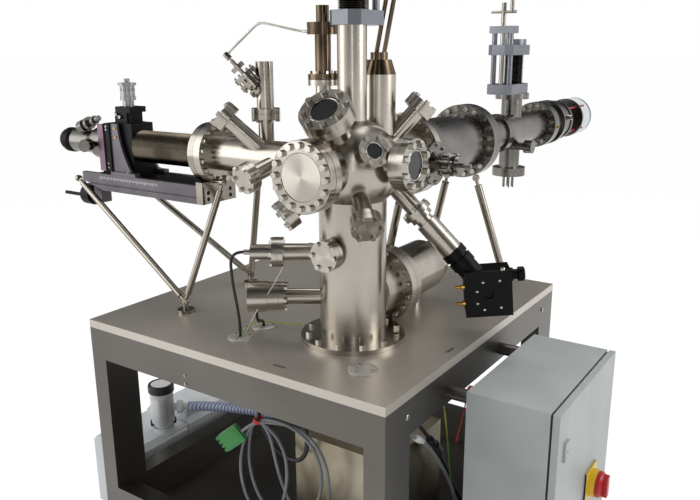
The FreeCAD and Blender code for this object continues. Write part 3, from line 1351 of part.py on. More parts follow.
# The two lift stages are alike: fixed base and top plates on guide rods, a plate that rides
# between them on the rods, a bellows round the moving shaft and a hand screw.
def lift_stage(prefix, at, turn):
    """One lift stage, standing at this place on its tube."""
    front = f"-{prefix}stage_front"
    top_back = f"{front} + {prefix}stage_bridge_reach"
    plate_corners = [
        ("-stage_half_width", f"{front} + stage_corner"), ("-stage_half_width + stage_corner", front),
        ("stage_half_width - stage_corner", front), ("stage_half_width", f"{front} + stage_corner"),
        ("stage_half_width", "stage_back - stage_corner"), ("stage_half_width - stage_corner", "stage_back"),
        ("-stage_half_width + stage_corner", "stage_back"),
        ("-stage_half_width", "stage_back - stage_corner")]
    bridge_corners = [
        ("-stage_half_width", f"{front} + stage_corner"), ("stage_half_width", f"{front} + stage_corner"),
        ("stage_half_width", top_back), ("-stage_half_width", top_back)]
    rod_y = f"{front} + stage_rod_inset"
    rods = [("-stage_rod_spread", rod_y), ("stage_rod_spread", rod_y)]
    middle = "stage_plate_thickness + stage_gap"
    top = "stage_height - stage_plate_thickness * 0.7"
    frame = [plate(prefix + "base_plate", plate_corners, "stage_plate_thickness"),
             plate(prefix + "top_plate", bridge_corners, "stage_plate_thickness * 0.7",
                   ("0", "0", top), UPRIGHT, [("stage_screw_radius + fit_gap", "0", rod_y)])]
    for index, (across, along) in enumerate(rods):
        frame.append(rod(f"{prefix}guide_{index}", "stage_rod_radius", f"{top} - stage_plate_thickness / 2",
                         (across, along, "stage_plate_thickness / 2")))
    NODES[prefix + "stage_frame"] = joined(prefix + "stage_frame", frame, at, turn)
    carriage = [
        plate(prefix + "moving_plate", plate_corners, "stage_plate_thickness", ("0", "0", middle), UPRIGHT,
              [("stage_rod_radius + fit_gap", across, along) for across, along in rods]
              + [("stage_screw_radius + fit_gap", "0", rod_y)]),
        rod(prefix + "moving_flange", "flange40_radius", "stage_tube_flange",
            ("0", "0", f"{middle} + stage_plate_thickness / 2")),
        rod(prefix + "moving_tube", "stage_tube_radius", "stage_tube_height",
            ("-stage_tube_shift", "-stage_tube_shift", f"{middle} + stage_plate_thickness / 2"))]
    NODES[prefix + "stage_carriage"] = joined(prefix + "stage_carriage", carriage, at, turn)
    NODES[prefix + "stage_bellows"] = bellows(
        prefix + "stage_bellows", round(size("stage_gap") / size("stage_bellows_pitch")),
        size("stage_plate_thickness"), size("stage_plate_thickness") + size("stage_gap"),
        size("stage_bellows_radius"), size("stage_bellows_depth"), at, turn)
    handle = [
        rod(prefix + "stage_screw", "stage_screw_radius", "stage_screw_length",
            ("0", rod_y, "stage_plate_thickness + fit_gap")),
        rod(prefix + "stage_bar", "stage_bar_radius", "stage_handle_length",
            ("-stage_handle_length / 2", rod_y, "stage_screw_length + stage_bar_radius"), RIGHT),
        rod(prefix + "stage_grip", "stage_bar_radius * 1.6", "stage_grip_height",
            ("stage_handle_length / 3", rod_y, "stage_screw_length + stage_bar_radius"))]
    NODES[prefix + "stage_handle"] = joined(prefix + "stage_handle", handle, at, turn)


lift_stage("", moved(TEE, along_z="tee_branch_top + seam_width / 4"), UPRIGHT)
lift_stage("top_", moved(AXIS, along_z="top_tube_length + seam_width / 4"), Rotation(Vector(0, 0, 1), 180))

HEAD_JOINT = f"{TEE_END} + flange100_thickness"
ROD_START = f"{HEAD_JOINT} + detector_length + detector_plate_thickness"
RING_START = f"{ROD_START} + detector_disc_distance"
END_DISC = f"{ROD_START} + detector_rod_length"
detector_body = joined("detector_body", [
    turned("detector_can", stack(
        f"{HEAD_JOINT} + seam_width / 2", ("flange100_radius", f"{HEAD_JOINT} + flange100_thickness"),
        ("detector_radius", f"{HEAD_JOINT} + detector_length * 0.45"),
        ("flange100_radius", f"{HEAD_JOINT} + detector_length * 0.62"),
        ("detector_radius", f"{HEAD_JOINT} + detector_length"),
        ("detector_plate_radius", ROD_START)), AXIS, BACK),
    rod("detector_connector", "detector_connector_radius", "detector_connector_length",
        moved(AXIS, along_y=f"{HEAD_JOINT} + detector_length + detector_plate_thickness / 2"), BACK)])
detector_rods = []
rod_holes = []
for index in range(int(size("detector_rod_count"))):
    angle = 45 + 360 / size("detector_rod_count") * index
    across = f"detector_rod_circle * cos({angle})"
    up = f"detector_rod_circle * sin({angle})"
    detector_rods.append(rod(
        f"detector_rod_{index}", "detector_rod_radius", "detector_rod_length - seam_width / 4",
        moved(AXIS, across, f"{ROD_START} + seam_width / 8", up), BACK))
    rod_holes.append(rod(
        f"detector_hole_{index}", "detector_rod_radius + fit_gap", "detector_disc_thickness * 3",
        moved(AXIS, across, f"{RING_START} - detector_disc_thickness", up), BACK))
detector_ring = without("detector_ring", turned("detector_ring_blank", [
    ("detector_hole_radius", RING_START), ("detector_plate_radius", RING_START),
    ("detector_plate_radius", f"{RING_START} + detector_disc_thickness"),
    ("detector_hole_radius", f"{RING_START} + detector_disc_thickness")], AXIS, BACK),
    together("rod_holes", rod_holes))
NODES["detector_head"] = together("detector_head", [detector_body, detector_ring])
NODES["detector_rods"] = together("detector_rods", detector_rods)
NODES["detector_end_disc"] = rod(
    "detector_end_disc", "detector_plate_radius", "detector_disc_thickness * 1.5",
    moved(AXIS, along_y=END_DISC), BACK)

# Lamp source: stainless tube and valve, black condenser, and the finned lamp housing.
SOURCE_VALVE = "source_port_length + flange40_thickness"
NODES["source_tube"] = turned("source_tube", stack(
    "source_port_length + seam_width / 2", ("source_flange_radius", SOURCE_VALVE),
    ("tube40_radius", f"{SOURCE_VALVE} + source_neck_length"),
    ("valve_nipple_radius", f"{SOURCE_VALVE} + source_neck_length + valve_nipple_length / 2"),
    ("valve_nipple_radius - seam_depth",
     f"{SOURCE_VALVE} + source_neck_length + valve_nipple_length / 2 + seam_width"),
    ("valve_nipple_radius", f"{SOURCE_VALVE} + source_neck_length + valve_nipple_length")),
    TARGET, PORTS["source"])
CONDENSER = f"{SOURCE_VALVE} + source_neck_length + valve_nipple_length"
NODES["source_condenser"] = turned("source_condenser", stack(
    f"{CONDENSER} + seam_width / 4", ("condenser_radius", f"{CONDENSER} + condenser_length * 0.4"),
    ("condenser_radius * 0.85", f"{CONDENSER} + condenser_length * 0.55"),
    ("condenser_radius", f"{CONDENSER} + condenser_length")), TARGET, PORTS["source"])
lamp_reach = (size("source_port_length") + size("flange40_thickness") + size("source_neck_length")
              + size("valve_nipple_length") + size("condenser_length"))
LAMP_TURN = aim(size("lamp_azimuth"), 0) * Rotation(Vector(0, 0, 1), size("lamp_roll"))
source_line = PORTS["source"].multVec(Vector(0, 0, 1))
lamp_middle = TARGET_POINT + source_line * (lamp_reach + size("lamp_neck_length"))
fin_start = "-lamp_depth / 2"
lamp_core = box("lamp_core",
                ("-lamp_size / 2 + lamp_fin_depth", "-lamp_size / 2 + lamp_fin_depth", fin_start),
                ("lamp_size / 2 - lamp_fin_depth", "lamp_size / 2 - lamp_fin_depth", "lamp_depth / 2"))
lamp_plate = plate(
    "lamp_plate",
    [("-lamp_size / 2", "-lamp_size / 2"), ("lamp_size / 2", "-lamp_size / 2"),
     ("lamp_size / 2", "lamp_size / 2"), ("-lamp_size / 2", "lamp_size / 2")],
    "lamp_plate_thickness", ("0", "0", "lamp_depth / 2 - lamp_plate_thickness"))
fin_count = int((size("lamp_depth") - size("lamp_plate_thickness")) / size("lamp_fin_pitch"))
lamp_fins = []
for index in range(fin_count):
    low = f"{fin_start} + lamp_fin_pitch * {index}"
    lamp_fins.append(box(
        f"lamp_fin_{index}",
        ("-lamp_size / 2 + seam_width", "-lamp_size / 2 + seam_width", low),
        ("lamp_size / 2 - seam_width", "lamp_size / 2 - seam_width", f"{low} + lamp_fin_thickness")))
lamp_solid = joined("lamp_solid", [lamp_core, lamp_plate] + lamp_fins)
lamp_hole = rod("lamp_hole", "lamp_hole_radius", "lamp_plate_thickness",
                ("0", "0", "lamp_depth / 2 - lamp_plate_thickness / 2"))
lamp_box = without("lamp_box", lamp_solid, lamp_hole, lamp_middle, LAMP_TURN)
lamp_neck = rod("lamp_neck", "condenser_radius * 0.9", "lamp_neck_length - seam_width / 4",
                TARGET_POINT + source_line * (lamp_reach + size("seam_width") / 4), PORTS["source"])
NODES["lamp_housing"] = joined("lamp_housing", [lamp_box, lamp_neck])
barbs = []
for index, along in enumerate((-1, 1)):
    side = LAMP_TURN.multVec(Vector(
        along * size("barb_spread"), -size("lamp_size") / 2 - size("seam_width") / 4,
        size("lamp_depth") / 2 - size("lamp_plate_thickness") / 2))
    barbs.append(turned(f"barb_{index}", [
        ("0", "0"), ("barb_radius * 1.5", "0"), ("barb_radius * 1.5", "barb_length * 0.3"),
        ("barb_radius", "barb_length * 0.35"), ("barb_radius * 0.8", "barb_length * 0.6"),
        ("barb_radius", "barb_length * 0.65"), ("barb_radius * 0.6", "barb_length"), ("0", "barb_length")],
        lamp_middle + side, LAMP_TURN * Rotation(Vector(1, 0, 0), 90)))
NODES["hose_barbs"] = together("hose_barbs", barbs)

# Vacuum gauges low on the column, and the pump at the back.
NODES["gauges"] = together("gauges", [
    turned("upper_gauge", stack(
        "gauge_port_length + seam_width / 2", ("flange40_radius", "gauge_port_length + flange40_thickness"),
        ("gauge_tube_radius", "gauge_length"), ("gauge_plug_radius", "gauge_length + gauge_plug_length")),
        moved(TABLE_POINT, along_z="upper_gauge_height"), PORTS["gauge"]),
    turned("lower_gauge", stack(
        "gauge_port_length + seam_width / 2",
        ("flange40_radius", "gauge_port_length + flange40_thickness * 2"),
        ("flange40_radius + seam_depth", "gauge_length + gauge_plug_length / 2")),
        moved(TABLE_POINT, along_z="lower_gauge_height"), PORTS["gauge"])])
REAR = moved(TABLE_POINT, along_z="rear_tube_height")
NODES["rear_pump"] = joined("rear_pump", [
    turned("rear_pump_body", stack(
        "rear_port_length + seam_width / 2", ("rear_flange_radius", "rear_port_length + flange160_thickness"),
        ("rear_tube_radius", "rear_tube_length"), ("rear_tube_radius * 0.8", "rear_tube_length * 1.15")),
        REAR, BACK),
    rod("rear_pump_post", "foot_plate_radius", "rear_tube_height",
        moved(TABLE_POINT, along_y="rear_tube_length * 0.85"))])

# Cables from the gauges and the column into the table.
GAUGE_LINE = PORTS["gauge"].multVec(Vector(0, 0, 1))
plug_reach = size("gauge_length") + size("gauge_plug_length") + size("seam_width") / 4
DOWNWARD = Vector(0, 0, -1)
plug_end = GAUGE_LINE * plug_reach + Vector(0, 0, size("upper_gauge_height"))
hole_x = size("cable_hole_x")
front_y = size("cable_hole_front_y")
rear_y = size("cable_hole_rear_y")
NODES["gauge_cable_1"] = bent_tube("gauge_cable_1", size("cable_radius"), at_table(
    tuple(plug_end), tuple(plug_end + GAUGE_LINE * 16), tuple(plug_end + GAUGE_LINE * 31 + DOWNWARD * 15),
    (-236, -154, 160), (-231, -154, 120), (-225, -152, 80), (hole_x, front_y, 42), (hole_x, front_y + 1, 15),
    (hole_x, front_y, -16)))
low_cable = GAUGE_LINE * (size("gauge_length") - size("gauge_plug_length") / 2)
low_start = Vector(low_cable.x, low_cable.y, size("lower_gauge_height") - size("flange40_radius")
                   - size("seam_depth") - size("cable_radius") / 4)
NODES["gauge_cable_2"] = bent_tube("gauge_cable_2", size("cable_radius"), at_table(
    tuple(low_start), (low_start.x - 1, low_start.y + 2, 36), (hole_x + 12, rear_y - 22, 25),
    (hole_x + 3, rear_y - 6, 14), (hole_x, rear_y, 1), (hole_x, rear_y + 1, -16)))
NODES["earth_wire"] = bent_tube("earth_wire", size("earth_wire_radius"), at_table(
    (-218, -146, -15), (-219, -145, 4), (-226, -128, 14), (-235, -102, 13), (-234, -78, 11), (-224, -60, 10),
    (-205, -50, 9), (-182, -45, 9), (-160, -40, 10), (-140, -32, 11), (-124, -26, 13)))

# A steel housing stands in the bay, and a dry pump on the floor at the left of the table.
NODES["bay_housing"] = box(
    "bay_housing", ("column_x + housing_x", "column_y + housing_y", SHELF_TOP),
    ("column_x + housing_x + housing_length", "column_y + housing_y + housing_width",
     f"{SHELF_TOP} + housing_height"))
PUMP = ("-table_width / 2 - pump_clearance", "-table_depth / 2 + pump_front_y", "0")
FRONT_TOP = "pump_height - pump_front_step"


def pump_casing(name, start, end, top):
    """A bevelled casing block of the pump, from this place to that one along its length."""
    corners = [("0", "pump_foot_height"), ("0", f"{top} - pump_bevel"), ("-pump_bevel", top),
               ("-pump_width + pump_bevel", top), ("-pump_width", f"{top} - pump_bevel"),
               ("-pump_width", "pump_foot_height")]
    return plate(name, corners, f"({end}) - ({start})", ("0", end, "0"), Rotation(Vector(1, 0, 0), 90))


pump_feet = [box(f"pump_foot_{end}{side}", (f"{left} - pump_inset * 3", f"{front}", "0"),
                 (left, f"{front} + pump_inset * 3", "pump_foot_height"))
             for end, left in enumerate(("-pump_inset", "-pump_width + pump_inset * 4"))
             for side, front in enumerate(("pump_inset", "pump_length - pump_inset * 4"))]
TRAP = ("-trap_place_x", "trap_place_y", "0")
pump_parts = pump_feet + [
    pump_casing("pump_front", "0", "pump_front_length - pump_seam", FRONT_TOP),
    box("pump_waist", ("-pump_width + pump_seam", "pump_front_length / 2", "pump_foot_height"),
        ("-pump_seam", "pump_front_length + pump_seam", f"{FRONT_TOP} - pump_seam")),
    pump_casing("pump_rear", "pump_front_length", "pump_length", "pump_height"),
    box("pump_cover",
        ("-pump_bevel - pump_cover_width", "pump_front_length + pump_seam", "pump_height - pump_seam"),
        ("-pump_bevel", "pump_front_length + pump_seam + pump_cover_length",
         "pump_height + pump_cover_thickness")),
    turned("pump_trap", stack(
        f"{FRONT_TOP} - pump_inset", ("trap_radius * 0.9", f"{FRONT_TOP} + trap_neck * 0.3"),
        ("trap_radius * 0.6", f"{FRONT_TOP} + trap_neck * 0.6"),
        ("trap_radius * 0.85", f"{FRONT_TOP} + trap_neck"),
        ("trap_radius", f"{FRONT_TOP} + trap_neck + trap_height * 0.83"),
        ("trap_radius * 1.08", f"{FRONT_TOP} + trap_neck + trap_height")), TRAP),
    turned("trap_outlet", stack(
        "0", ("hose_radius * 0.8", "trap_radius + hose_nipple * 0.25"),
        ("hose_radius * 1.4", "trap_radius + hose_nipple * 0.6"),
        ("hose_radius * 0.8", "trap_radius + hose_nipple")),
        (TRAP[0], TRAP[1], f"{FRONT_TOP} + trap_outlet_height"), aim(size("trap_outlet_azimuth"), 0))]
NODES["vacuum_pump"] = joined("vacuum_pump", pump_parts, PUMP)
hose_line = aim(size("trap_outlet_azimuth"), 0).multVec(Vector(0, 0, 1))
trap_point = Vector(
    -size("table_width") / 2 - size("pump_clearance") - size("trap_place_x"),
    -size("table_depth") / 2 + size("pump_front_y") + size("trap_place_y"),
    size("pump_height") - size("pump_front_step") + size("trap_outlet_height")) - COLUMN_FOOT
hose_start = trap_point + hose_line * (size("trap_radius") + size("hose_nipple") + size("seam_width") / 2)
NODES["suction_hose"] = bent_tube("suction_hose", size("hose_radius"), at_table(
    tuple(hose_start), tuple(hose_start + hose_line * 42), (-481, 132, -382), (-374, 157, -382),
    (-296, 160, -336), (-250, 162, -258), (-250, 162, -size("top_thickness") - size("seam_width") / 4)))
# The coiled cable hangs from a tie behind the front rail, with a green plug on its short lead.
COIL_Y = "-table_depth / 2 + rail_width + coil_gap"
COIL_TOP = "table_height - coil_drop"
coil_parts = []
for name, along_z, turn in (("coil_top", "-coil_radius", FRONT * Rotation(Vector(0, 0, 1), 90)),
                            ("coil_bottom", "-coil_radius - coil_straight",
                             FRONT * Rotation(Vector(0, 0, 1), -90))):
    half = DOC.addObject("Part::Torus", name)
    half.setExpression("Radius1", named("coil_radius"))
    half.setExpression("Radius2", named("coil_thickness"))
    half.Angle3 = 180
    coil_parts.append(place(half, ("column_x + coil_x", COIL_Y, f"{COIL_TOP} + ({along_z})"), turn))
for index, across in enumerate(("-coil_radius", "coil_radius")):
    coil_parts.append(rod(f"coil_side_{index}", "coil_thickness", "coil_straight",
                          (f"column_x + coil_x + ({across})", COIL_Y,
                           f"{COIL_TOP} - coil_radius - coil_straight")))
coil_parts.append(ball("coil_tie", "coil_tie_radius", ("column_x + coil_x", COIL_Y, COIL_TOP)))
coil_parts.append(rod("coil_tail", "bay_cable_radius * 1.5", "coil_drop - top_thickness - seam_width / 4",
                      ("column_x + coil_x", COIL_Y, COIL_TOP)))
NODES["cable_coil"] = joined("cable_coil", coil_parts)
# The lead ends beside the coil's top turn, just short of touching it.
PLUG_REACH = "(plug_lead_length + plug_lead_gap)"
plug_turn = Rotation(Vector(0, 0, 1), size("plug_yaw")) * Rotation(Vector(0, 1, 0), size("plug_tilt"))
plug_box = box("plug_block", ("-plug_length", "-plug_thickness / 2", "-plug_height / 2"),
               ("0", "plug_thickness / 2", "plug_height / 2"))
NODES["green_plug"] = joined(
    "green_plug", [plug_box, rod("plug_lead", "bay_cable_radius", "plug_lead_length", HERE, RIGHT)],
    (f"column_x + coil_x - {PLUG_REACH} * cos(plug_tilt) * cos(plug_yaw)",
     f"{COIL_Y} - {PLUG_REACH} * cos(plug_tilt) * sin(plug_yaw)",
     f"{COIL_TOP} + {PLUG_REACH} * sin(plug_tilt)"), plug_turn)

# Bolt heads on the flange rings, standing on the side that shows or is easy to reach.
bolt_ring(LARGE_HEADS, AXIS_POINT, FRONT, size("front_port_length") + size("flange100_thickness"),
          size("flange100_bolt_circle"), int(size("flange100_bolts")), 0)
bolt_ring(LARGE_HEADS, AXIS_POINT, LEFT, size("arm_port_length") - size("flange100_thickness"),
          size("flange100_bolt_circle"), int(size("flange100_bolts")), outward=-1)
for reach in ("lens_port_length", "tee_start"):
    bolt_ring(LARGE_HEADS, AXIS_POINT, BACK, size(reach) - size("flange160_thickness"),
              size("flange160_bolt_circle"), int(size("flange160_bolts")), outward=-1)
bolt_ring(LARGE_HEADS, AXIS_POINT, BACK, size("tee_start") + size("tee_length"),
          size("flange100_bolt_circle"), int(size("flange100_bolts")), outward=-1)
bolt_ring(LARGE_HEADS, COLUMN_FOOT, UPRIGHT, size("base_flange_thickness"),
          size("base_bolt_circle"), int(size("base_bolts")))
bolt_ring(LARGE_HEADS, COLUMN_FOOT + Vector(0, 0, size("rear_tube_height")), BACK,
          size("rear_port_length") + size("flange160_thickness"), size("rear_bolt_circle"),
          int(size("flange160_bolts")))
SMALL_RINGS = (
    (AXIS_POINT, PORTS["lower"], "lower_port_length", 1),
    (COLUMN_FOOT + Vector(0, 0, size("column_port_height")), FRONT, "column_port_length", 1),
    (TARGET_POINT, PORTS["back"], "back_port_length", 1),
    (TARGET_POINT, PORTS["source"], "source_port_length", -1),
    (AXIS_POINT - Vector(size("arm_upper_distance"), 0, 0), PORTS["arm_upper"], "arm_upper_length", 1),
    (AXIS_POINT - Vector(size("arm_lower_distance"), 0, 0), PORTS["arm_lower"], "arm_lower_length", 1),
    (AXIS_POINT, PORTS["rear_small"], "rear_small_length", 1),
    (COLUMN_FOOT + Vector(0, 0, size("upper_gauge_height")), PORTS["gauge"], "gauge_port_length", 1),
    (COLUMN_FOOT + Vector(0, 0, size("lower_gauge_height")), PORTS["gauge"], "gauge_port_length", -1),
    (AXIS_POINT + Vector(size("gauge_tube_x"), size("gauge_tube_y"), 0), UPRIGHT, "gauge_joint", 1),
    (AXIS_POINT + Vector(-size("valve_distance"), size("valve_offset"), 0), UPRIGHT, "valve_joint", -1))
for centre, turn, joint, outward in SMALL_RINGS:
    bolt_ring(SMALL_HEADS, centre, turn, size(joint) + outward * size("flange40_thickness"),
              size("flange40_bolt_circle"), int(size("flange40_bolts")), outward=outward)
for name, heads in (("large_bolts", LARGE_HEADS), ("small_bolts", SMALL_HEADS)):
    NODES[name] = DOC.addObject("Part::Feature", name)
    NODES[name].Shape = Part.makeCompound(heads)

# Every sub-part has to be sound before anything is written.
DOC.recompute()
for thing in DOC.Objects:
    if "Invalid" in thing.State or "Error" in thing.State:
        raise RuntimeError(f"{thing.Name} did not build: {thing.State}")
for name, thing in NODES.items():
    thing.Label = name
    if thing.Shape.isNull() or not thing.Shape.isValid() or not thing.Shape.Solids:
        raise RuntimeError(f"{name} has no sound solid")
if len(NODES) > 60:
    raise RuntimeError("too many sub-parts")
os.makedirs("parts", exist_ok=True)
for name, thing in NODES.items():
    thing.Shape.exportStep(f"parts/{name}.step")
    print(name, len(thing.Shape.Solids), "solids")
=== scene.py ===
import math

import bmesh
import bpy
from mathutils import Matrix, Vector


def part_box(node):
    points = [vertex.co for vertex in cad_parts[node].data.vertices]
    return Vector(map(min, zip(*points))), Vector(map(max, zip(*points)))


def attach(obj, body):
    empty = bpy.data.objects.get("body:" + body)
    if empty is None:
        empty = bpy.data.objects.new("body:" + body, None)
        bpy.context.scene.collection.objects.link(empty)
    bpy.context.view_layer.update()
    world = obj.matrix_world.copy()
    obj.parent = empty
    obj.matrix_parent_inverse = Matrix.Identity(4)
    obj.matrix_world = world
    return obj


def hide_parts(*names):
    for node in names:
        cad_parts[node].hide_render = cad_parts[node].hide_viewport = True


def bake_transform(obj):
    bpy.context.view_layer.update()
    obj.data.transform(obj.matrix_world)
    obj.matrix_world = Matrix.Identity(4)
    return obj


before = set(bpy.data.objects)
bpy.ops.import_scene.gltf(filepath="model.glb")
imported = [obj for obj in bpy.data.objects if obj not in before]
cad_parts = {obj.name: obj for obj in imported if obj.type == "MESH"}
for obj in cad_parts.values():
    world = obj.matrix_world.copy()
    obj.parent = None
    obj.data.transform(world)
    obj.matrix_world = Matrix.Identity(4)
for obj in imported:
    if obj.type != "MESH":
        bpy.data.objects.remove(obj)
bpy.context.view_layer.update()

# Photoemission electron microscope: the looks of its metal, glass, paint and cables.
# +X runs along the table's front edge to the cabinet side, +Y back along the electron lens, +Z up.
# Places and sizes are in millimetres, which MM turns into metres.
MM = 0.001
AXIS = Vector((184, -192, 1104)) * MM
TABLE_POINT = Vector((184, -192, 700)) * MM
LEFT = (-1, 0, 0)
RIGHT = (1, 0, 0)
FRONT = (0, -1, 0)
UP = (0, 0, 1)


def at(x, y, z):
    """A point given in millimetres in the object's own frame."""
    return Vector((x, y, z)) * MM


def at_axis(x, y, z):
    """A point given in millimetres from where the arm, the lens and the column meet."""
    return AXIS + Vector((x, y, z)) * MM


def at_table(x, y, z):
    """A point given in millimetres from the middle of the column's foot."""
    return TABLE_POINT + Vector((x, y, z)) * MM


def heading(azimuth, elevation=0):
    """The direction at a compass angle from +X and a rise above level, both in degrees."""
    azimuth, elevation = math.radians(azimuth), math.radians(elevation)
    return Vector((math.cos(azimuth) * math.cos(elevation), math.sin(azimuth) * math.cos(elevation),
                   math.sin(elevation)))


def round_places(count, offset=0.0):
    """Evenly spaced points of a unit circle, the first turned by this share of a step."""
    turns = [2 * math.pi * (step + offset) / count for step in range(count)]
    return [(math.cos(turn), math.sin(turn)) for turn in turns]


# Camera at the photo's angle: its place, and its turn, downward tilt and roll in degrees.
CAMERA_PLACE = (1100.4, -1553.8, 1351.2)
CAMERA_TURN = 34.17
CAMERA_DOWNWARD = 15.018
CAMERA_ROLL = -0.324
SENSOR_WIDTH = 36
FOCAL_LENGTH = 38.177
view = bpy.data.objects.new("camera", bpy.data.cameras.new("camera"))
bpy.context.collection.objects.link(view)
view.data.sensor_width = SENSOR_WIDTH
view.data.lens = FOCAL_LENGTH
view.matrix_world = (
    Matrix.Translation(at(*CAMERA_PLACE))
    @ Matrix.Rotation(math.radians(CAMERA_TURN), 4, "Z")
    @ Matrix.Rotation(math.radians(90 - CAMERA_DOWNWARD), 4, "X")
    @ Matrix.Rotation(math.radians(CAMERA_ROLL), 4, "Z"))
bpy.context.scene.camera = view
bpy.context.scene.view_settings.view_transform = "Standard"


def linear(code):
    """The linear colour of an sRGB hex value."""
    shades = [int(code[start:start + 2], 16) / 255 for start in (1, 3, 5)]
    return [c / 12.92 if c <= 0.04045 else ((c + 0.055) / 1.055) ** 2.4 for c in shades] + [1]


def add(tree, kind, settings=None, links=None):
    """Adds one node, with its settings and the sockets that feed it."""
    node = tree.nodes.new("ShaderNode" + kind)
    for name, value in (settings or {}).items():
        if isinstance(name, int) or name in node.inputs:
            node.inputs[name].default_value = value
        else:
            setattr(node, name, value)
    for name, source in (links or {}).items():
        tree.links.new(source, node.inputs[name])
    return node


def finish_material(name, settings):
    """An empty material with a Principled surface, and its tree."""
    material = bpy.data.materials.new(name)
    material.use_nodes = True
    tree = material.node_tree
    surface = tree.nodes["Principled BSDF"]
    for socket, value in settings.items():
        surface.inputs[socket].default_value = value
    return material, tree, surface


# Noise mostly lies between these two values, so a finish's roughness is spread over them.
NOISE_LOW, NOISE_HIGH = 0.3, 0.7
# The grain's weight in the tone beside the slow patches, and the range that the two then fill.
GRAIN_SHARE = 0.45
TONE_LOW, TONE_HIGH = 0.55, 0.9


def grained(name, dark, light, settings, grain_mm, rough, relief=0.0, patch_mm=90):
    """A finish whose grain has its own width along each axis, over slow changes of tone.

    grain_mm holds the grain's size along X, Y and Z, rough the least and most roughness, and
    relief the depth of the grain in millimetres."""
    material, tree, surface = finish_material(name, settings)
    place = add(tree, "TexCoord")
    stretch = add(tree, "Mapping", {"Scale": [1 / (size * MM) for size in grain_mm]},
                  {"Vector": place.outputs["Object"]})
    grain = add(tree, "TexNoise", {"Scale": 1.0, "Detail": 3.0, "Roughness": 0.6},
                {"Vector": stretch.outputs["Vector"]})
    patches = add(tree, "TexNoise", {"Scale": 1 / (patch_mm * MM), "Detail": 2.0},
                  {"Vector": place.outputs["Object"]})
    tone = add(tree, "Math", {"operation": "MULTIPLY_ADD", 1: GRAIN_SHARE},
               {0: grain.outputs["Fac"], 2: patches.outputs["Fac"]})
    spread = add(tree, "MapRange", {"From Min": TONE_LOW, "From Max": TONE_HIGH}, {"Value": tone.outputs[0]})
    colour = add(tree, "Mix", {"data_type": "RGBA", 6: linear(dark), 7: linear(light)},
                 {0: spread.outputs["Result"]})
    tree.links.new(colour.outputs[2], surface.inputs["Base Color"])
    least, most = rough
    dull = add(tree, "MapRange", {"From Min": NOISE_LOW, "From Max": NOISE_HIGH, "To Min": least,
                                  "To Max": most}, {"Value": grain.outputs["Fac"]})
    tree.links.new(dull.outputs["Result"], surface.inputs["Roughness"])
    if relief:
        bump = add(tree, "Bump", {"Strength": 0.5, "Distance": relief * MM},
                   {"Height": grain.outputs["Fac"]})
        tree.links.new(bump.outputs["Normal"], surface.inputs["Normal"])
    return material


METAL = {"Metallic": 1.0}
ANODISED = {"Metallic": 0.0, "Specular IOR Level": 0.14}
PLASTIC = {"Metallic": 0.0}

# Vacuum vessels are stainless steel, rubbed satin by hand after welding: soft warm reflections.
satin_stainless = grained("satin_stainless_steel", "#AFA99F", "#B6B0A6", METAL, (40, 40, 400), (0.25, 0.27))
# Flanges come off the lathe and keep a fine turned face that catches more light.
turned_stainless = grained("turned_stainless_steel", "#948E85", "#B3AEA5", METAL, (3, 3, 3), (0.14, 0.22))
# These vessels and their flanges are drawn a shade greyer, with a duller turned skin.
grey_stainless = grained("greyer_stainless_steel", "#6A6863", "#817E79", METAL, (6, 6, 6), (0.2, 0.28))
# The struts are ground bar with one long highlight.
ground_bar = grained("ground_steel_bar", "#8B857A", "#9C968B", METAL, (30, 30, 30), (0.17, 0.21))
# Drawn and polished tube: long straight highlights, hardly any grain across.
polished_tube = grained("polished_steel_tube", "#A39E96", "#C9C5BE", METAL, (6, 6, 60), (0.08, 0.16))
# Table sheet is brushed along X; the real 0.2 mm grain is drawn at 2 mm so that it shows. On the frame and
# shelf it is drawn dark, as painted shade.
brushed_sheet = grained("brushed_steel_sheet_painted_shade", "#66635F", "#73706B", METAL, (120, 2, 2), (0.32, 0.42),
                        relief=0.01, patch_mm=400)
# The top is the same brushed sheet drawn far paler, as painted light falling from above, and it scatters more
# of that light.
lit_brushed_top = grained("brushed_steel_top_painted_light", "#BEB7AE", "#CAC3BA", {"Metallic": 0.7}, (120, 2, 2),
                      (0.32, 0.42), relief=0.01, patch_mm=400)
# Cut discs and caps of the same sheet, left as rolled, and drawn pale as painted light from above.
rolled_disc = grained("rolled_steel_disc_painted_light", "#B7B4AE", "#C4C1BB", {"Metallic": 0.6}, (2, 2, 2), (0.4, 0.5))
# The hot-cathode gauge and the load lock are browned by baking.
baked_steel = grained("baked_stainless_steel", "#4C4033", "#6E5F4E", METAL, (2, 2, 30), (0.14, 0.24))
# Micrometer parts are satin-chromed aluminium.
satin_chrome = grained("satin_chrome", "#8C8D90", "#A0A1A4", {"Metallic": 0.8}, (3, 3, 3), (0.28, 0.38))
# The housing in the bay is the table's sheet, brushed upwards.
brushed_housing = grained("brushed_steel_housing", "#948A76", "#B3AA98", METAL, (2, 2, 90), (0.3, 0.42),
                          relief=0.02)
# Silver-plated bolts are bright, with a smear of wear on the corners.
plated_bolts = grained("silver_plated_bolts", "#A8A49C", "#C3BFB7", METAL, (7, 7, 7), (0.12, 0.2))
# Machined aluminium plates are bead blasted to an even light grey.
blasted_aluminium = grained("bead_blasted_aluminium", "#76797E", "#868990", {"Metallic": 0.9}, (1, 1, 1),
                            (0.3, 0.4), relief=0.01)
# The trap's can is spun aluminium, paler than the plates.
spun_aluminium = grained("spun_aluminium", "#C6C9C9", "#D4D6D6", {"Metallic": 0.5}, (30, 30, 2), (0.34, 0.44))
# Anodising on the rail is grey with a trace of purple, over an extruded surface.
grey_anodised = grained("grey_anodised_aluminium", "#595459", "#6B666B", {"Metallic": 0.6}, (40, 1.5, 1.5),
                        (0.3, 0.42), relief=0.01)
# The swivel plate's dye has gone purple in the light.
purple_anodised = grained("purple_anodised_aluminium", "#6C5463", "#7F6475", {"Metallic": 0.6},
                          (1.5, 1.5, 1.5), (0.3, 0.42), relief=0.01)
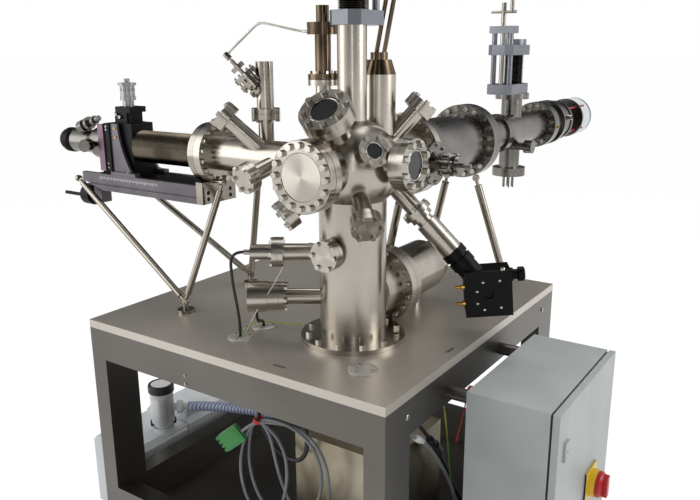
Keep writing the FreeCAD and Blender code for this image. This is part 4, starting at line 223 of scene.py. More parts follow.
# Black anodised parts keep a dull sheen from the blasting underneath.
black_anodised = grained("black_anodised_aluminium", "#060607", "#0D0D0F", ANODISED, (1, 1, 1), (0.32, 0.5),
                         relief=0.015)
# Red anodised rods were drawn along Y, so their grain is long that way.
red_anodised = grained("red_anodised_aluminium", "#8C1420", "#B02330", {"Metallic": 0.5}, (1, 20, 1),
                       (0.2, 0.32))
# Formed bellows steel is thin and springy. It is drawn dark as painted shade: brownish on the arm, nearly
# black on the stages.
bellows_steel = grained("bellows_steel_painted_shade", "#4F473C", "#776E60", METAL, (4, 4, 4), (0.18, 0.28))
dark_bellows = grained("bellows_steel_painted_deep_shade", "#2E2B28", "#4A4641", METAL, (4, 4, 4), (0.25, 0.38))
# Turned brass is bright and warm.
turned_brass = grained("turned_brass", "#B8892F", "#D9B45C", METAL, (1, 1, 1), (0.15, 0.28))
# Tinned copper braid is pale, and its weave dulls the highlight.
braided_lead = grained("braided_tinned_copper", "#B8B3A8", "#D4CFC4", METAL, (1, 1, 1), (0.3, 0.5))
# Powder coat on the cabinet has a fine orange peel of about 1.5 mm.
powder_coat = grained("light_grey_powder_coat", "#A4A9A9", "#ACB1B1", PLASTIC, (1.5, 1.5, 1.5), (0.42, 0.52),
                      relief=0.03)
# The pump is a painted casting, and the sand of its mould shows through.
painted_casting = grained("grey_painted_casting", "#C3C6C9", "#D0D3D5", PLASTIC, (2, 2, 2), (0.4, 0.55),
                          relief=0.05)
# Cable sheath is soft PVC with a dull sheen, and the trap's rim and wings are as black and dull.
black_sheath = grained("black_pvc_sheath", "#101011", "#1E1E20", PLASTIC, (1.5, 1.5, 1.5), (0.38, 0.55))
grey_sheath = grained("grey_pvc_sheath", "#6A6D70", "#7F8386", PLASTIC, (1.5, 1.5, 1.5), (0.4, 0.55))
# Moulded plastics keep the even gloss of their mould.
switch_red = grained("moulded_red_plastic", "#A81515", "#BC2020", PLASTIC, (1, 1, 1), (0.28, 0.4))
switch_yellow = grained("moulded_yellow_plastic", "#DDB512", "#EAC52A", PLASTIC, (1, 1, 1), (0.3, 0.42))
plug_green = grained("moulded_green_plastic", "#2F7A3A", "#3D8F49", PLASTIC, (1, 1, 1), (0.35, 0.5))
tie_red = grained("red_cable_tie", "#A5121C", "#C01E28", PLASTIC, (1, 1, 1), (0.3, 0.45))
white_plastic = grained("moulded_white_plastic", "#D2D2CE", "#DEDEDA", PLASTIC, (2, 2, 2), (0.35, 0.5))
# The door's seal is matt rubber, and the micrometer's filled marks are as black.
gasket_rubber = grained("black_door_gasket", "#0B0B0C", "#151517", PLASTIC, (1, 1, 1), (0.5, 0.7))
# The ruler's marks are engraved and filled with white.
white_ink = grained("white_filled_engraving", "#C9C9C9", "#DADADA", PLASTIC, (1, 1, 1), (0.5, 0.6))

# Clear hose with a moulded spiral: its real ridges lie 5 mm apart, and are drawn 9.9 mm apart to show.
# The wave pattern repeats every pi / 10 of the length that scales it, here 10 mm times pi.
clear_hose, tree, surface = finish_material("spiral_reinforced_hose", {"Roughness": 0.3})
place = add(tree, "TexCoord")
ridges = add(tree, "TexWave", {"Scale": 1 / (10 * MM * math.pi), "bands_direction": "X"},
             {"Vector": place.outputs["Object"]})
colour = add(tree, "Mix", {"data_type": "RGBA", 6: linear("#6E7CA6"), 7: linear("#C3CADF")},
             {0: ridges.outputs["Fac"]})
bump = add(tree, "Bump", {"Strength": 0.8, "Distance": 1.5 * MM}, {"Height": ridges.outputs["Fac"]})
tree.links.new(colour.outputs[2], surface.inputs["Base Color"])
tree.links.new(bump.outputs["Normal"], surface.inputs["Normal"])


def clear_material(name, tint, rough):
    """Clear window material."""
    return finish_material(name, {"Base Color": linear(tint), "Roughness": rough, "IOR": 1.5,
                                  "Transmission Weight": 1.0})[0]


# Viewport glass is polished flat, and the end disc of the detector is clear cast acrylic.
viewport_glass = clear_material("polished_borosilicate_glass", "#737B80", 0.03)
cast_acrylic = clear_material("cast_acrylic", "#DDE3E6", 0.08)

# The blanks' faces are turned in fine rings, which draw the light out across them.
turned_face, tree, surface = finish_material(
    "ring_turned_blank", {"Metallic": 1.0, "Base Color": linear("#B6B1A8"), "Roughness": 0.22,
                          "Anisotropic": 0.95})
tangent = add(tree, "Tangent", {"direction_type": "RADIAL", "axis": "Y"})
tree.links.new(tangent.outputs["Tangent"], surface.inputs["Tangent"])

# Earth wire: green sheath with a yellow stripe every 7.5 mm along X, which is pi / 10 of 24 mm.
earth_stripes, tree, surface = finish_material("striped_earth_sheath", {"Roughness": 0.45})
place = add(tree, "TexCoord")
stripes = add(tree, "TexWave", {"Scale": 1 / (24 * MM), "Distortion": 0.5},
              {"Vector": place.outputs["Object"]})
split = add(tree, "MapRange", {"From Min": 0.45, "From Max": 0.55}, {"Value": stripes.outputs["Fac"]})
colour = add(tree, "Mix", {"data_type": "RGBA", 6: linear("#5C9130"), 7: linear("#BDBE3C")},
             {0: split.outputs["Result"]})
tree.links.new(colour.outputs[2], surface.inputs["Base Color"])

FINISHES = {
    "table_frame": brushed_sheet, "table_top": lit_brushed_top, "base_shelf": brushed_sheet,
    "levelling_feet": turned_stainless, "cabinet_body": powder_coat, "cabinet_door": powder_coat,
    "door_lock": turned_stainless, "switch_handle": switch_red, "chamber": satin_stainless,
    "front_blank": turned_stainless, "side_feedthrough": grey_stainless, "viewport_flanges": turned_stainless,
    "viewport_windows": viewport_glass, "large_bolts": plated_bolts, "small_bolts": plated_bolts,
    "end_bracket": turned_stainless, "translator_rail": grey_anodised, "slide_cover": black_anodised,
    "transfer_bellows": bellows_steel, "carriage_yoke": black_anodised,
    "carriage_gussets": grey_anodised, "swivel_plate": purple_anodised,
    "micrometer_body": satin_chrome, "micrometer_thimble": satin_chrome,
    "rotary_head": grey_stainless, "rotary_knob": black_anodised, "crank_wheel": black_anodised,
    "support_struts": ground_bar, "angle_valve": turned_stainless,
    "leak_valve_knob": turned_stainless, "gas_line": polished_tube, "ion_gauge": baked_steel,
    "loadlock_cylinder": baked_steel, "lens_tube": grey_stainless,
    "detector_tee": grey_stainless, "stage_frame": blasted_aluminium,
    "stage_carriage": blasted_aluminium, "stage_bellows": dark_bellows,
    "stage_handle": turned_stainless, "top_stage_frame": blasted_aluminium,
    "top_stage_carriage": blasted_aluminium, "top_stage_bellows": dark_bellows,
    "top_stage_handle": turned_stainless, "detector_head": grey_stainless,
    "detector_rods": red_anodised, "detector_end_disc": cast_acrylic,
    "source_tube": satin_stainless, "source_condenser": black_anodised,
    "lamp_housing": black_anodised, "hose_barbs": turned_brass, "gauges": satin_stainless,
    "rear_pump": turned_stainless, "gauge_cable_1": black_sheath, "gauge_cable_2": black_sheath,
    "earth_wire": earth_stripes, "bay_housing": brushed_housing, "vacuum_pump": painted_casting,
    "suction_hose": clear_hose, "cable_coil": grey_sheath, "green_plug": plug_green}
for node, finish in FINISHES.items():
    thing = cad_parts[node]
    thing.data.materials.clear()
    thing.data.materials.append(finish)


def piece(name, mesh, body, finish, smooth_angle=None):
    """A finished mesh piece that rides on a body, or on none where it lies between two."""
    thing = bpy.data.objects.new(name, mesh)
    bpy.context.collection.objects.link(thing)
    mesh.materials.append(finish)
    if smooth_angle is not None:
        mesh.shade_smooth()
        mesh.set_sharp_from_angle(angle=math.radians(smooth_angle))
    if body:
        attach(thing, body)
    return thing


def lathe(shape, corners, along, start, sides=40):
    """Adds a piece turned about a line: a closed outline of (radius, distance) in millimetres."""
    turn = Vector((0, 0, 1)).rotation_difference(Vector(along)).to_matrix()
    rings = []
    for radius, distance in corners:
        ring = []
        for step in range(sides if radius else 1):
            angle = 2 * math.pi * step / sides
            local = Vector((radius * math.cos(angle), radius * math.sin(angle), distance)) * MM
            ring.append(shape.verts.new(Vector(start) + turn @ local))
        rings.append(ring)
    for low, high in zip(rings, rings[1:] + rings[:1]):
        for step in range(sides):
            ends = [low[step % len(low)], low[(step + 1) % sides % len(low)],
                    high[(step + 1) % sides % len(high)], high[step % len(high)]]
            face = list(dict.fromkeys(ends))
            if len(face) > 2:
                shape.faces.new(face)


def block(shape, low, high, bevel_mm=1.0, turn=None):
    """Adds a block between two corners in millimetres, with rounded edges."""
    corners = bmesh.ops.create_cube(shape, size=1)["verts"]
    low, high = Vector(low), Vector(high)
    for vertex in corners:
        vertex.co = Vector((low[i] + (high[i] - low[i]) * (vertex.co[i] + 0.5) for i in range(3))) * MM
    if turn:
        bmesh.ops.transform(shape, matrix=turn, verts=corners)
    if bevel_mm:
        edges = list({edge for vertex in corners for edge in vertex.link_edges})
        bmesh.ops.bevel(shape, geom=edges, offset=bevel_mm * MM, segments=2, affect="EDGES", profile=0.6)


def socket_screw(shape, spot, along, radius, height):
    """Adds a domed screw head with a round socket."""
    lathe(shape, [(0, height * 0.45), (radius * 0.5, height * 0.45), (radius * 0.5, height),
                  (radius * 0.8, height), (radius, height * 0.7), (radius, 0), (0, 0)], along, spot, 20)


def finished(name, shape):
    """The mesh of a shape whose faces all look outwards."""
    bmesh.ops.recalc_face_normals(shape, faces=list(shape.faces))
    mesh = bpy.data.meshes.new(name)
    shape.to_mesh(mesh)
    shape.free()
    return mesh


def turned_piece(name, corners, along, start, body, finish, smooth_angle=40, sides=48):
    """One turned piece that rides on a body."""
    shape = bmesh.new()
    lathe(shape, corners, along, start, sides)
    return piece(name, finished(name, shape), body, finish, smooth_angle)


def screws(name, spots, along, radius, height, body, finish):
    """A set of like screws as one piece."""
    shape = bmesh.new()
    for spot in spots:
        socket_screw(shape, spot, along, radius, height)
    return piece(name, finished(name, shape), body, finish, 40)


# Bellows: fine folds that the solids only hint at. A fold's lip fills the middle of its pitch.
LIP_START, LIP_END = 0.4, 0.6
ARM_FOLDS, ARM_FOLD_INNER, ARM_FOLD_OUTER = 36, 36, 43
STAGE_FOLDS, STAGE_FOLD_INNER, STAGE_FOLD_OUTER = 24, 25, 30


def convolutions(length, count, inner, outer):
    """The outline of welded bellows: each fold rises to a narrow outer lip and falls back."""
    pitch = length / count
    corners = [(0, 0), (inner, 0)]
    for fold in range(count):
        foot = fold * pitch
        corners += [(outer, foot + pitch * LIP_START), (outer, foot + pitch * LIP_END), (inner, foot + pitch)]
    return corners + [(0, length)]


low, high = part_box("transfer_bellows")
outline = convolutions((high.x - low.x) / MM, ARM_FOLDS, ARM_FOLD_INNER, ARM_FOLD_OUTER)
arm_bellows = turned_piece("arm_bellows", outline, LEFT, (high.x, AXIS.y, AXIS.z), None,
                           bellows_steel, 80, 64)
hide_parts("transfer_bellows")
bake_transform(arm_bellows)
for node, lift, slot in (("stage_bellows", "lift", "stage_bellows_steel"),
                         ("top_stage_bellows", "top_lift", "top_bellows_steel")):
    low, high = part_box(node)
    middle = (low + high) / 2
    outline = convolutions((high.z - low.z) / MM, STAGE_FOLDS, STAGE_FOLD_INNER, STAGE_FOLD_OUTER)
    folds = turned_piece(node + "_folds", outline, UP, (middle.x, middle.y, low.z), None,
                         dark_bellows, 60)
    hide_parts(node)
    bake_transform(folds)


# Steps between two points of a cord's line, as it is drawn and as it is measured.
DRAWN_STEPS, MEASURED_STEPS = 10, 12


def smooth_line(name, points, steps):
    """A curve of one open smooth line that these points control."""
    line = bpy.data.curves.new(name, "CURVE")
    line.dimensions = "3D"
    spline = line.splines.new("NURBS")
    spline.points.add(len(points) - 1)
    for point, spot in zip(spline.points, points):
        point.co = (*spot, 1)
    spline.order_u = 3
    spline.use_endpoint_u = True
    spline.resolution_u = steps
    return line


def line_length(points):
    """The length in metres of the smooth line that these points control."""
    holder = bpy.data.objects.new("measure", smooth_line("measure", points, MEASURED_STEPS))
    mesh = bpy.data.meshes.new_from_object(holder)
    spots = [vertex.co for vertex in mesh.vertices]
    bpy.data.objects.remove(holder)
    return sum((b - a).length for a, b in zip(spots, spots[1:]))


def cord(name, points, radius_mm, finish, node=None):
    """A smooth round cord along its route; the length of its line is measured but not kept."""
    line = smooth_line(name, points, DRAWN_STEPS)
    line.bevel_depth = radius_mm * MM
    line.bevel_resolution = 5
    line.use_fill_caps = True
    line.materials.append(finish)
    thing = bpy.data.objects.new(name, line)
    bpy.context.collection.objects.link(thing)
    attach(thing, "stand")
    if node:
        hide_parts(node)
    line_length(points)
    return thing


GAUGE_CABLE_RADIUS = 3.5
EARTH_WIRE_RADIUS = 1.6

# Cables from the two gauges down into the table. Each gauge's end is given by its reach along the
# gauges' line and its height above the top.
GAUGE_LINE = heading(213)
UPPER_GAUGE_REACH, UPPER_GAUGE_HEIGHT = 251.25, 206
LOWER_GAUGE_REACH, LOWER_GAUGE_HEIGHT = 227, 61.1
plug = GAUGE_LINE * UPPER_GAUGE_REACH
turn_down = GAUGE_LINE * (UPPER_GAUGE_REACH + 16)
hang = GAUGE_LINE * (UPPER_GAUGE_REACH + 31)
cord("upper_gauge_cable", [
    at_table(plug.x, plug.y, UPPER_GAUGE_HEIGHT), at_table(turn_down.x, turn_down.y, UPPER_GAUGE_HEIGHT),
    at_table(hang.x, hang.y, UPPER_GAUGE_HEIGHT - 15),
    at_table(-236, -154, 160), at_table(-231, -154, 120), at_table(-225, -152, 80), at_table(-220, -151, 42),
    at_table(-220, -150, 15), at_table(-220, -151, -16)],
    GAUGE_CABLE_RADIUS, black_sheath, "gauge_cable_1")
low_start = GAUGE_LINE * LOWER_GAUGE_REACH
cord("lower_gauge_cable", [
    at_table(low_start.x, low_start.y, LOWER_GAUGE_HEIGHT), at_table(low_start.x - 1, low_start.y + 2, 36),
    at_table(-208, -87, 25), at_table(-217, -71, 14), at_table(-220, -65, 1), at_table(-220, -64, -16)],
    GAUGE_CABLE_RADIUS, black_sheath, "gauge_cable_2")
# The earth wire lies on the top from the front grommet to the column's foot.
cord("green_yellow_earth_wire", [at_table(*spot) for spot in (
    (-218, -146, -15), (-219, -145, 4), (-226, -128, 14), (-235, -102, 13), (-234, -78, 11), (-224, -60, 10),
    (-205, -50, 9), (-182, -45, 9), (-160, -40, 10), (-140, -32, 11), (-124, -26, 13))],
    EARTH_WIRE_RADIUS, earth_stripes, "earth_wire")

# The suction hose leaves the trap's outlet and goes up under the table's top.
TRAP = Vector((-512, -188, 250))
OUTLET_RISE = Vector((0, 0, 68))
OUTLET_REACH = 76.5
outlet = heading(40)
hose_start = TRAP + OUTLET_RISE + outlet * OUTLET_REACH
cord("clear_suction_hose", [
    hose_start * MM, (hose_start + outlet * 42) * MM, at_table(-481, 132, -382), at_table(-374, 157, -382),
    at_table(-296, 160, -336), at_table(-250, 162, -258), at_table(-250, 162, -20.25)],
    14, clear_hose, "suction_hose")

# The green plug ends the coiled cable: a body with four poles and a raised key. It is turned and then
# tilted, in degrees, and its lead runs from it to the tie.
TIE = Vector((26, -362, 510))
PLUG_TURN, PLUG_TILT = 22, -38
LEAD_REACH = 56.3
POLES, POLE_PITCH = 4, 11.5
plug_turn = (Matrix.Rotation(math.radians(PLUG_TURN), 4, "Z")
             @ Matrix.Rotation(math.radians(PLUG_TILT), 4, "Y"))
lead_line = plug_turn.to_3x3() @ Vector(RIGHT)
plug_end = TIE - lead_line * LEAD_REACH
shape = bmesh.new()
block(shape, (-56, -8, -23), (0, 8, 23), 1.5)
for pole in range(POLES):
    block(shape, (-64, -6, -21 + pole * POLE_PITCH), (-55, 6, -13.5 + pole * POLE_PITCH), 0.8)
block(shape, (-28, -9, -15), (-6, -7, 15), 0.6)
bmesh.ops.transform(shape, matrix=Matrix.Translation(plug_end * MM) @ plug_turn, verts=list(shape.verts))
green_plug = piece("green_plug_housing", finished("green_plug_housing", shape), "stand",
                   plug_green, 35)
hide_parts("green_plug")

# The coiled cable comes down to a tie, falls in three oval turns that fan out, and ends in the plug.
tie = turned_piece("coil_tie_band", [(9.5, -5), (12, -5), (12, 5), (9.5, 5)], (0.3, 0, 1), TIE * MM,
                   "stand", tie_red)
coil_points = [
    (26, -362, 679.75), (26, -361, 640), (25, -361, 590), (23, -361, 545), (22, -362, 514),
    (8, -364, 492), (-8, -366, 465), (-22, -368, 430), (-30, -370, 385), (-28, -370, 335), (-14, -369, 290),
    (10, -368, 262), (38, -367, 254), (66, -366, 268), (90, -366, 300), (106, -366, 345), (114, -366, 395),
    (110, -366, 445), (90, -366, 482), (58, -365, 503), (30, -363, 508),
    (8, -360, 494), (-4, -357, 468), (-12, -355, 430), (-16, -354, 385), (-8, -353, 335), (12, -352, 292),
    (44, -352, 264), (84, -352, 256), (124, -353, 270), (160, -354, 300), (190, -355, 340), (206, -356, 390),
    (206, -357, 440), (186, -358, 484), (150, -359, 512), (106, -360, 523), (62, -361, 521), (32, -361, 512),
    (40, -356, 496), (52, -350, 468), (60, -349, 430), (70, -348, 385), (86, -347, 340), (108, -347, 302),
    (138, -347, 276), (172, -347, 276), (202, -348, 304), (220, -350, 350), (224, -351, 405),
    (214, -352, 455), (188, -353, 495), (148, -355, 517), (104, -358, 520), (62, -362, 514), (32, -365, 508),
    TIE - lead_line * 20, TIE - lead_line * 40, plug_end + lead_line * 2]
cord("grey_coiled_cable", [at(*spot) for spot in coil_points], 3.8, grey_sheath,
     "cable_coil")

# A loose black cable hangs behind the coil.
cord("black_bay_cable", [at(*spot) for spot in (
    (20, -328, 679.75), (6, -329, 620), (-4, -330, 555), (0, -330, 500), (20, -330, 456), (50, -330, 428),
    (88, -330, 414), (120, -330, 416), (142, -329, 442), (146, -328, 485), (134, -327, 530), (140, -326, 580),
    (170, -326, 630), (190, -326, 679.75))], 5.5, black_sheath)

# At the right hang a grey cable with a white plug, a black one with a connector, and an earth wire.
shape = bmesh.new()
lathe(shape, [(0, -20), (6, -20), (8, -17), (8, 6), (6.5, 8), (6.5, 18), (5, 20), (0, 20)], (3, 56, -43),
      at(399.5, -256, 525.5), 28)
white_plug = piece("white_inline_plug", finished("white_inline_plug", shape), "stand",
                   white_plastic, 40)
cord("grey_side_cable", [at(*spot) for spot in (
    (356, -345, 679.75), (362, -340, 640), (380, -322, 590), (398, -284, 547), (401, -228, 504),
    (402, -182, 452), (402, -139, 396), (402, -99, 337), (403, -72, 282), (410, -58, 235.5))],
    4.5, grey_sheath)
shape = bmesh.new()
side_line = Vector((0, 0.62, -0.78)).normalized()
lathe(shape, [(0, -48), (8, -48), (10, -42), (10, -14), (14, -12), (14, 24), (10, 26), (10, 42), (6, 48),
              (0, 48)], side_line, at(376, -132, 440), 32)
inline_plug = piece("black_inline_connector", finished("black_inline_connector", shape), "stand",
                    black_sheath, 40)
cord("black_side_cable", [at(*spot) for spot in (
    (330, -345, 679.75), (336, -338, 640), (352, -318, 604), (366, -272, 576), (374, -218, 542),
    (376, -170, 488), (376, -132, 440), (376, -94, 392), (378, -62, 340), (384, -42, 290), (398, -30, 256),
    (412, -26, 235.5))], 5, black_sheath)
cord("side_earth_wire", [at(*spot) for spot in (
    (385, -150, 679.75), (388, -140, 610), (394, -124, 540), (398, -112, 470), (399, -102, 400),
    (400, -92, 335), (402, -70, 285), (406, -48, 250), (412, -42, 235.4))],
    EARTH_WIRE_RADIUS, earth_stripes)

# A red tie hangs from the nearer standoff, with its tail loose.
shape = bmesh.new()
lathe(shape, [(15.2, -3), (17, -3), (17, 3), (15.2, 3)], RIGHT, at(458, -126, 600), 32)
piece("standoff_tie", finished("standoff_tie", shape), "stand", tie_red, 40)
cord("tie_tail", [at(*spot) for spot in (
    (458, -143.5, 600), (457, -145, 584), (454, -147, 560), (449, -148, 532), (444, -150, 505),
    (440, -153, 484))],
    1.5, tie_red)

# The trap on the pump: a pale can with a black rim and a white lid, and the wings of its clamp.
turned_piece("trap_can", [(34.4, 28), (34.4, 106), (33.9, 106), (33.9, 28)], UP, TRAP * MM,
             "stand", spun_aluminium)
turned_piece("trap_rim", [(30, 144.6), (30, 147), (36, 147), (38.2, 143), (38.2, 124), (36, 122), (37, 144)],
             UP, TRAP * MM, "stand", black_sheath)
turned_piece("trap_lid", [(0, 144.3), (0, 146), (29.7, 146), (29.7, 144.3)], UP, TRAP * MM,
             "stand", white_plastic)
WING_REACH = 33
shape = bmesh.new()
for side in (-1, 1):
    wing = TRAP + Vector((0.62 * WING_REACH * side, 0.78 * WING_REACH * side, 22))
    lathe(shape, [(0, -5), (9, -5), (11, 0), (9, 5), (0, 5)], (0.6, 0.8, 0), wing * MM, 20)
piece("trap_clamp_wings", finished("trap_clamp_wings", shape), "stand", black_sheath, 40)

# Grommets where the cables pass the top, and the cap of the third hole, each held by three small
# screws on a circle. The screws' turns are in radians.
GROMMET_THICK, GROMMET_CIRCLE, GROMMET_TURNS = 3.2, 21, (0.8, 2.9, 5.0)
CAP_THICK, CAP_CIRCLE, CAP_TURNS = 3.4, 22, (0.4, 2.5, 4.6)


def cover_screws(name, across, along, circle, turns, up, radius):
    """The small screws that hold a grommet or a cap on the table's top."""
    screws(name, [at_table(across + circle * math.cos(turn), along + circle * math.sin(turn), up)
                  for turn in turns], UP, radius, 2, "stand", plated_bolts)


for name, across, along in (("front_grommet", -220, -151), ("rear_grommet", -220, -65)):
    turned_piece(name, [(5, 0.1), (30, 0.1), (30, 2.4), (29, GROMMET_THICK), (7, GROMMET_THICK), (5, 2.4)],
                 UP, at_table(across, along, 0), "stand", rolled_disc)
    cover_screws(name + "_screws", across, along, GROMMET_CIRCLE, GROMMET_TURNS, GROMMET_THICK, 2.8)
turned_piece("hole_cap", [(0, 0.1), (33, 0.1), (33, 2.2), (31.5, CAP_THICK), (0, CAP_THICK)], UP,
             at_table(124, -149, 0), "stand", rolled_disc)
cover_screws("hole_cap_screws", 124, -149, CAP_CIRCLE, CAP_TURNS, CAP_THICK, 3)

# Screws of the earth wire's end and of the table's rails.
screws("earth_screw", [at_table(-118, -26, 0)], UP, 6, 11, "stand", plated_bolts)
screws("front_rail_screws", [at(-103, -462, up) for up in (629, 608)], FRONT, 3.5, 2.4,
       "stand", plated_bolts)
screws("side_rail_screws", [at(438, along, 644) for along in (-379, 383)], RIGHT, 6.5, 3.5,
       "stand", plated_bolts)

# Screws and nuts of the transfer arm.
screws("bearing_screws", [at_axis(-767, -54, up) for up in (53, 45, -47, -58)], FRONT, 3.2, 2.6,
       "carriage", plated_bolts)
screws("gusset_screws", [at_axis(-738, -50, 49), at_axis(-736, -50, 25)], FRONT, 3.4, 2.6,
       "carriage", turned_brass)
screws("gusset_foot_screws", [at_axis(-690, -55, -68), at_axis(-690, 55, -68)], UP, 3.4, 2.6,
       "carriage", plated_bolts)
screws("bridge_nuts", [at_axis(-736, -27, 78), at_axis(-750, -27, 84)], FRONT, 5, 7,
       "carriage", plated_bolts)

# The rail's ruler: every fifth mark is a long one.
SHORT_MARK, LONG_MARK = 6, 9
RULER_START, RULER_TOP = -620, 1019
RULER_MARKS, RULER_PITCH = 39, 6
shape = bmesh.new()
for step in range(RULER_MARKS):
    across = RULER_START + step * RULER_PITCH
    deep = LONG_MARK if step % 5 == 0 else SHORT_MARK
    block(shape, (across, -252.3, RULER_TOP - deep), (across + 2, -251.9, RULER_TOP), 0)
piece("rail_ruler", finished("rail_ruler", shape), "stand", white_ink)

# The knob of the head has deep grip ribs.
KNOB_RIBS = 30
shape = bmesh.new()
for step in range(KNOB_RIBS):
    turn = Matrix.Translation(AXIS) @ Matrix.Rotation(2 * math.pi * step / KNOB_RIBS, 4, "X")
    block(shape, (-1000.5, 32.4, -2), (-978, 35.4, 2), 0.5, turn)
piece("knob_ribs", finished("knob_ribs", shape), "head_knob", black_anodised, 30)

# The micrometer's body has a ring of graduations.
GRADUATIONS, GRADUATION_FOOT = 20, 146
shape = bmesh.new()
for step in range(GRADUATIONS):
    turn = Matrix.Translation(at_axis(-733, 0, 0)) @ Matrix.Rotation(2 * math.pi * step / GRADUATIONS, 4, "Z")
    tall = LONG_MARK if step % 5 == 0 else SHORT_MARK
    block(shape, (19.2, -0.5, GRADUATION_FOOT), (19.6, 0.5, GRADUATION_FOOT + tall), 0, turn)
piece("micrometer_scale", finished("micrometer_scale", shape), "carriage",
      gasket_rubber)

# The bearing strip between the gussets and the swivel plate is black.
shape = bmesh.new()
block(shape, (-594.2, -246.4, 1035.8), (-571.9, -137.6, 1166), 0.6)
piece("bearing_strip_cover", finished("bearing_strip_cover", shape), "carriage", black_anodised)

# The faces of the front blank and of the two small blanks near it are turned in fine rings.
SMALL_FACE = [(0, 0.05), (22, 0.05), (22, 0.4), (0, 0.4)]
turned_piece("blank_turned_face", [(0, 0), (49.4, 0), (49.4, 0.4), (0, 0.4)], FRONT, at_axis(0, -187.4, 0),
             "stand", turned_face, 20, 96)
turned_piece("side_blank_turned_face", SMALL_FACE, FRONT, at(184, -307, 920.6), "stand",
             turned_face, 20, 64)
turned_piece("low_blank_turned_face", SMALL_FACE, (0.588, -0.598, -0.545), at(299.1, -309.1, 996.9), "stand",
             turned_face, 20, 64)

# Bright retaining rings hold the viewports' glass.
shape = bmesh.new()
for centre, facing, depth, radius in (
        (AXIS, (0.06, -0.67, 0.74), 176.8, 34), (AXIS, (0.774, -0.513, 0.372), 127.2, 20.4),
        (at_axis(0, 0, 14), RIGHT, 157.6, 34)):
    lathe(shape, [(radius - 4, depth), (radius, depth), (radius, depth + 1.4), (radius - 1, depth + 2.2),
                  (radius - 3, depth + 2.2), (radius - 4, depth + 1.4)], facing, centre, 56)
piece("viewport_retaining_rings", finished("viewport_retaining_rings", shape), "stand",
      polished_tube, 30)

# Nuts on the port that the rear pump tube closes.
NUT_CIRCLE, NUTS = 81, 16
REAR_PORT_HEIGHT = 96
screws("rear_flange_nuts", [at_table(NUT_CIRCLE * across, 118, REAR_PORT_HEIGHT + NUT_CIRCLE * up)
                            for across, up in round_places(NUTS, 0.5)],
       FRONT, 7, 7, "stand", plated_bolts)

# Leak valve: a collar with studs round its body, and a nut where the gas line leaves it.
LEAK_LINE = heading(217, 48)
LEAK = at_axis(-272, 30, 141)
turned_piece("leak_valve_collar", [(16.9, 16), (21, 16), (22.5, 18), (22.5, 30), (21, 32), (16.9, 32)],
             LEAK_LINE, LEAK, "stand", turned_stainless)
LEAK_STUDS, LEAK_STUD_CIRCLE = 6, 24
shape = bmesh.new()
for step in range(LEAK_STUDS):
    turn = Matrix.Rotation(2 * math.pi * step / LEAK_STUDS, 3, LEAK_LINE)
    around = turn @ LEAK_LINE.orthogonal().normalized()
    lathe(shape, [(0, 36), (3, 36), (3, 80), (0, 80)], LEAK_LINE, LEAK + around * LEAK_STUD_CIRCLE * MM, 16)
piece("leak_valve_studs", finished("leak_valve_studs", shape), "stand", plated_bolts, 40)
turned_piece("gas_line_nut", [(3.2, 4), (6.5, 4), (7.5, 6), (7.5, 18), (6, 22), (3.2, 22)], LEAK_LINE,
             LEAK + LEAK_LINE * 116 * MM, "stand", turned_stainless, 20, 6)

# Lamp housing, measured on its front plate: small screws round the hole, a cable gland and a top screw.
LAMP_PLATE = Vector((454.9, -36.9, 809.9))
LAMP_OUT = Vector((0.5, -0.866, 0))
LAMP_RIGHT = Vector((0.863, 0.498, 0.087))
LAMP_UP = Vector((-0.075, -0.044, 0.996))


def on_lamp(across, up, behind=0):
    """A point on the lamp's front plate, or so far behind it."""
    return (LAMP_PLATE + LAMP_RIGHT * across + LAMP_UP * up - LAMP_OUT * behind) * MM


screws("lamp_plate_screws", [on_lamp(across, up) for across, up in (
    (-12, 29), (26, 31), (-26, 8), (-26, -21), (-11, -37), (27, -34))],
    LAMP_OUT, 3, 1.4, "stand", plated_bolts)
turned_piece("lamp_cable_gland", [(0, 0), (16, 0), (16, 8), (12, 10), (12, 18), (17, 20), (17, 32), (14, 35),
                                  (0, 35)], LAMP_RIGHT, on_lamp(52, 34, 34), "stand",
             black_anodised, 30)
screws("lamp_top_screw", [on_lamp(34, 53, 7)], LAMP_UP, 6, 7, "stand", plated_bolts)

# Two clamp rings with their studs stand on the side feedthrough, outside the screws of its disc.
FEED_STUDS, FEED_STUD_CIRCLE = 8, 23.5
DISC_SCREWS, DISC_SCREW_CIRCLE = 8, 42
FEED = at_axis(0, 144.5, -2)
turned_piece("feedthrough_rings", [(17.8, 146), (25, 146), (26, 147.5), (26, 154), (21, 156), (21, 170),
                                   (26, 172), (26, 179), (25, 180.5), (17.8, 180.5)], RIGHT, FEED, "stand",
             grey_stainless)
shape = bmesh.new()
for along, up in round_places(FEED_STUDS, 0.5):
    around = Vector((0, along, up)) * FEED_STUD_CIRCLE * MM
    lathe(shape, [(0, 142), (2.6, 142), (2.6, 184), (0, 184)], RIGHT, FEED + around, 12)
piece("feedthrough_studs", finished("feedthrough_studs", shape), "stand", plated_bolts,
      40)
screws("feedthrough_disc_screws", [
    FEED + Vector((133, DISC_SCREW_CIRCLE * along, DISC_SCREW_CIRCLE * up)) * MM
    for along, up in round_places(DISC_SCREWS)],
    RIGHT, 4, 5, "stand", plated_bolts)

# Brass screw and signal connector on the detector, and a fixing screw on the housing in the bay.
screws("detector_screw", [at_axis(75.6, 1136, -7)], RIGHT, 4.5, 4, "stand",
       turned_brass)
turned_piece("detector_connector", [(0, 0), (11, 0), (11, 4), (8, 5), (8, 12), (9.5, 13), (9.5, 22), (6, 23),
                                    (6, 17), (0, 17)], RIGHT, at_axis(62, 1252, 18), "stand",
             turned_stainless)
screws("housing_screw", [at(349, -129, 387)], RIGHT, 5, 3, "stand", plated_bolts)

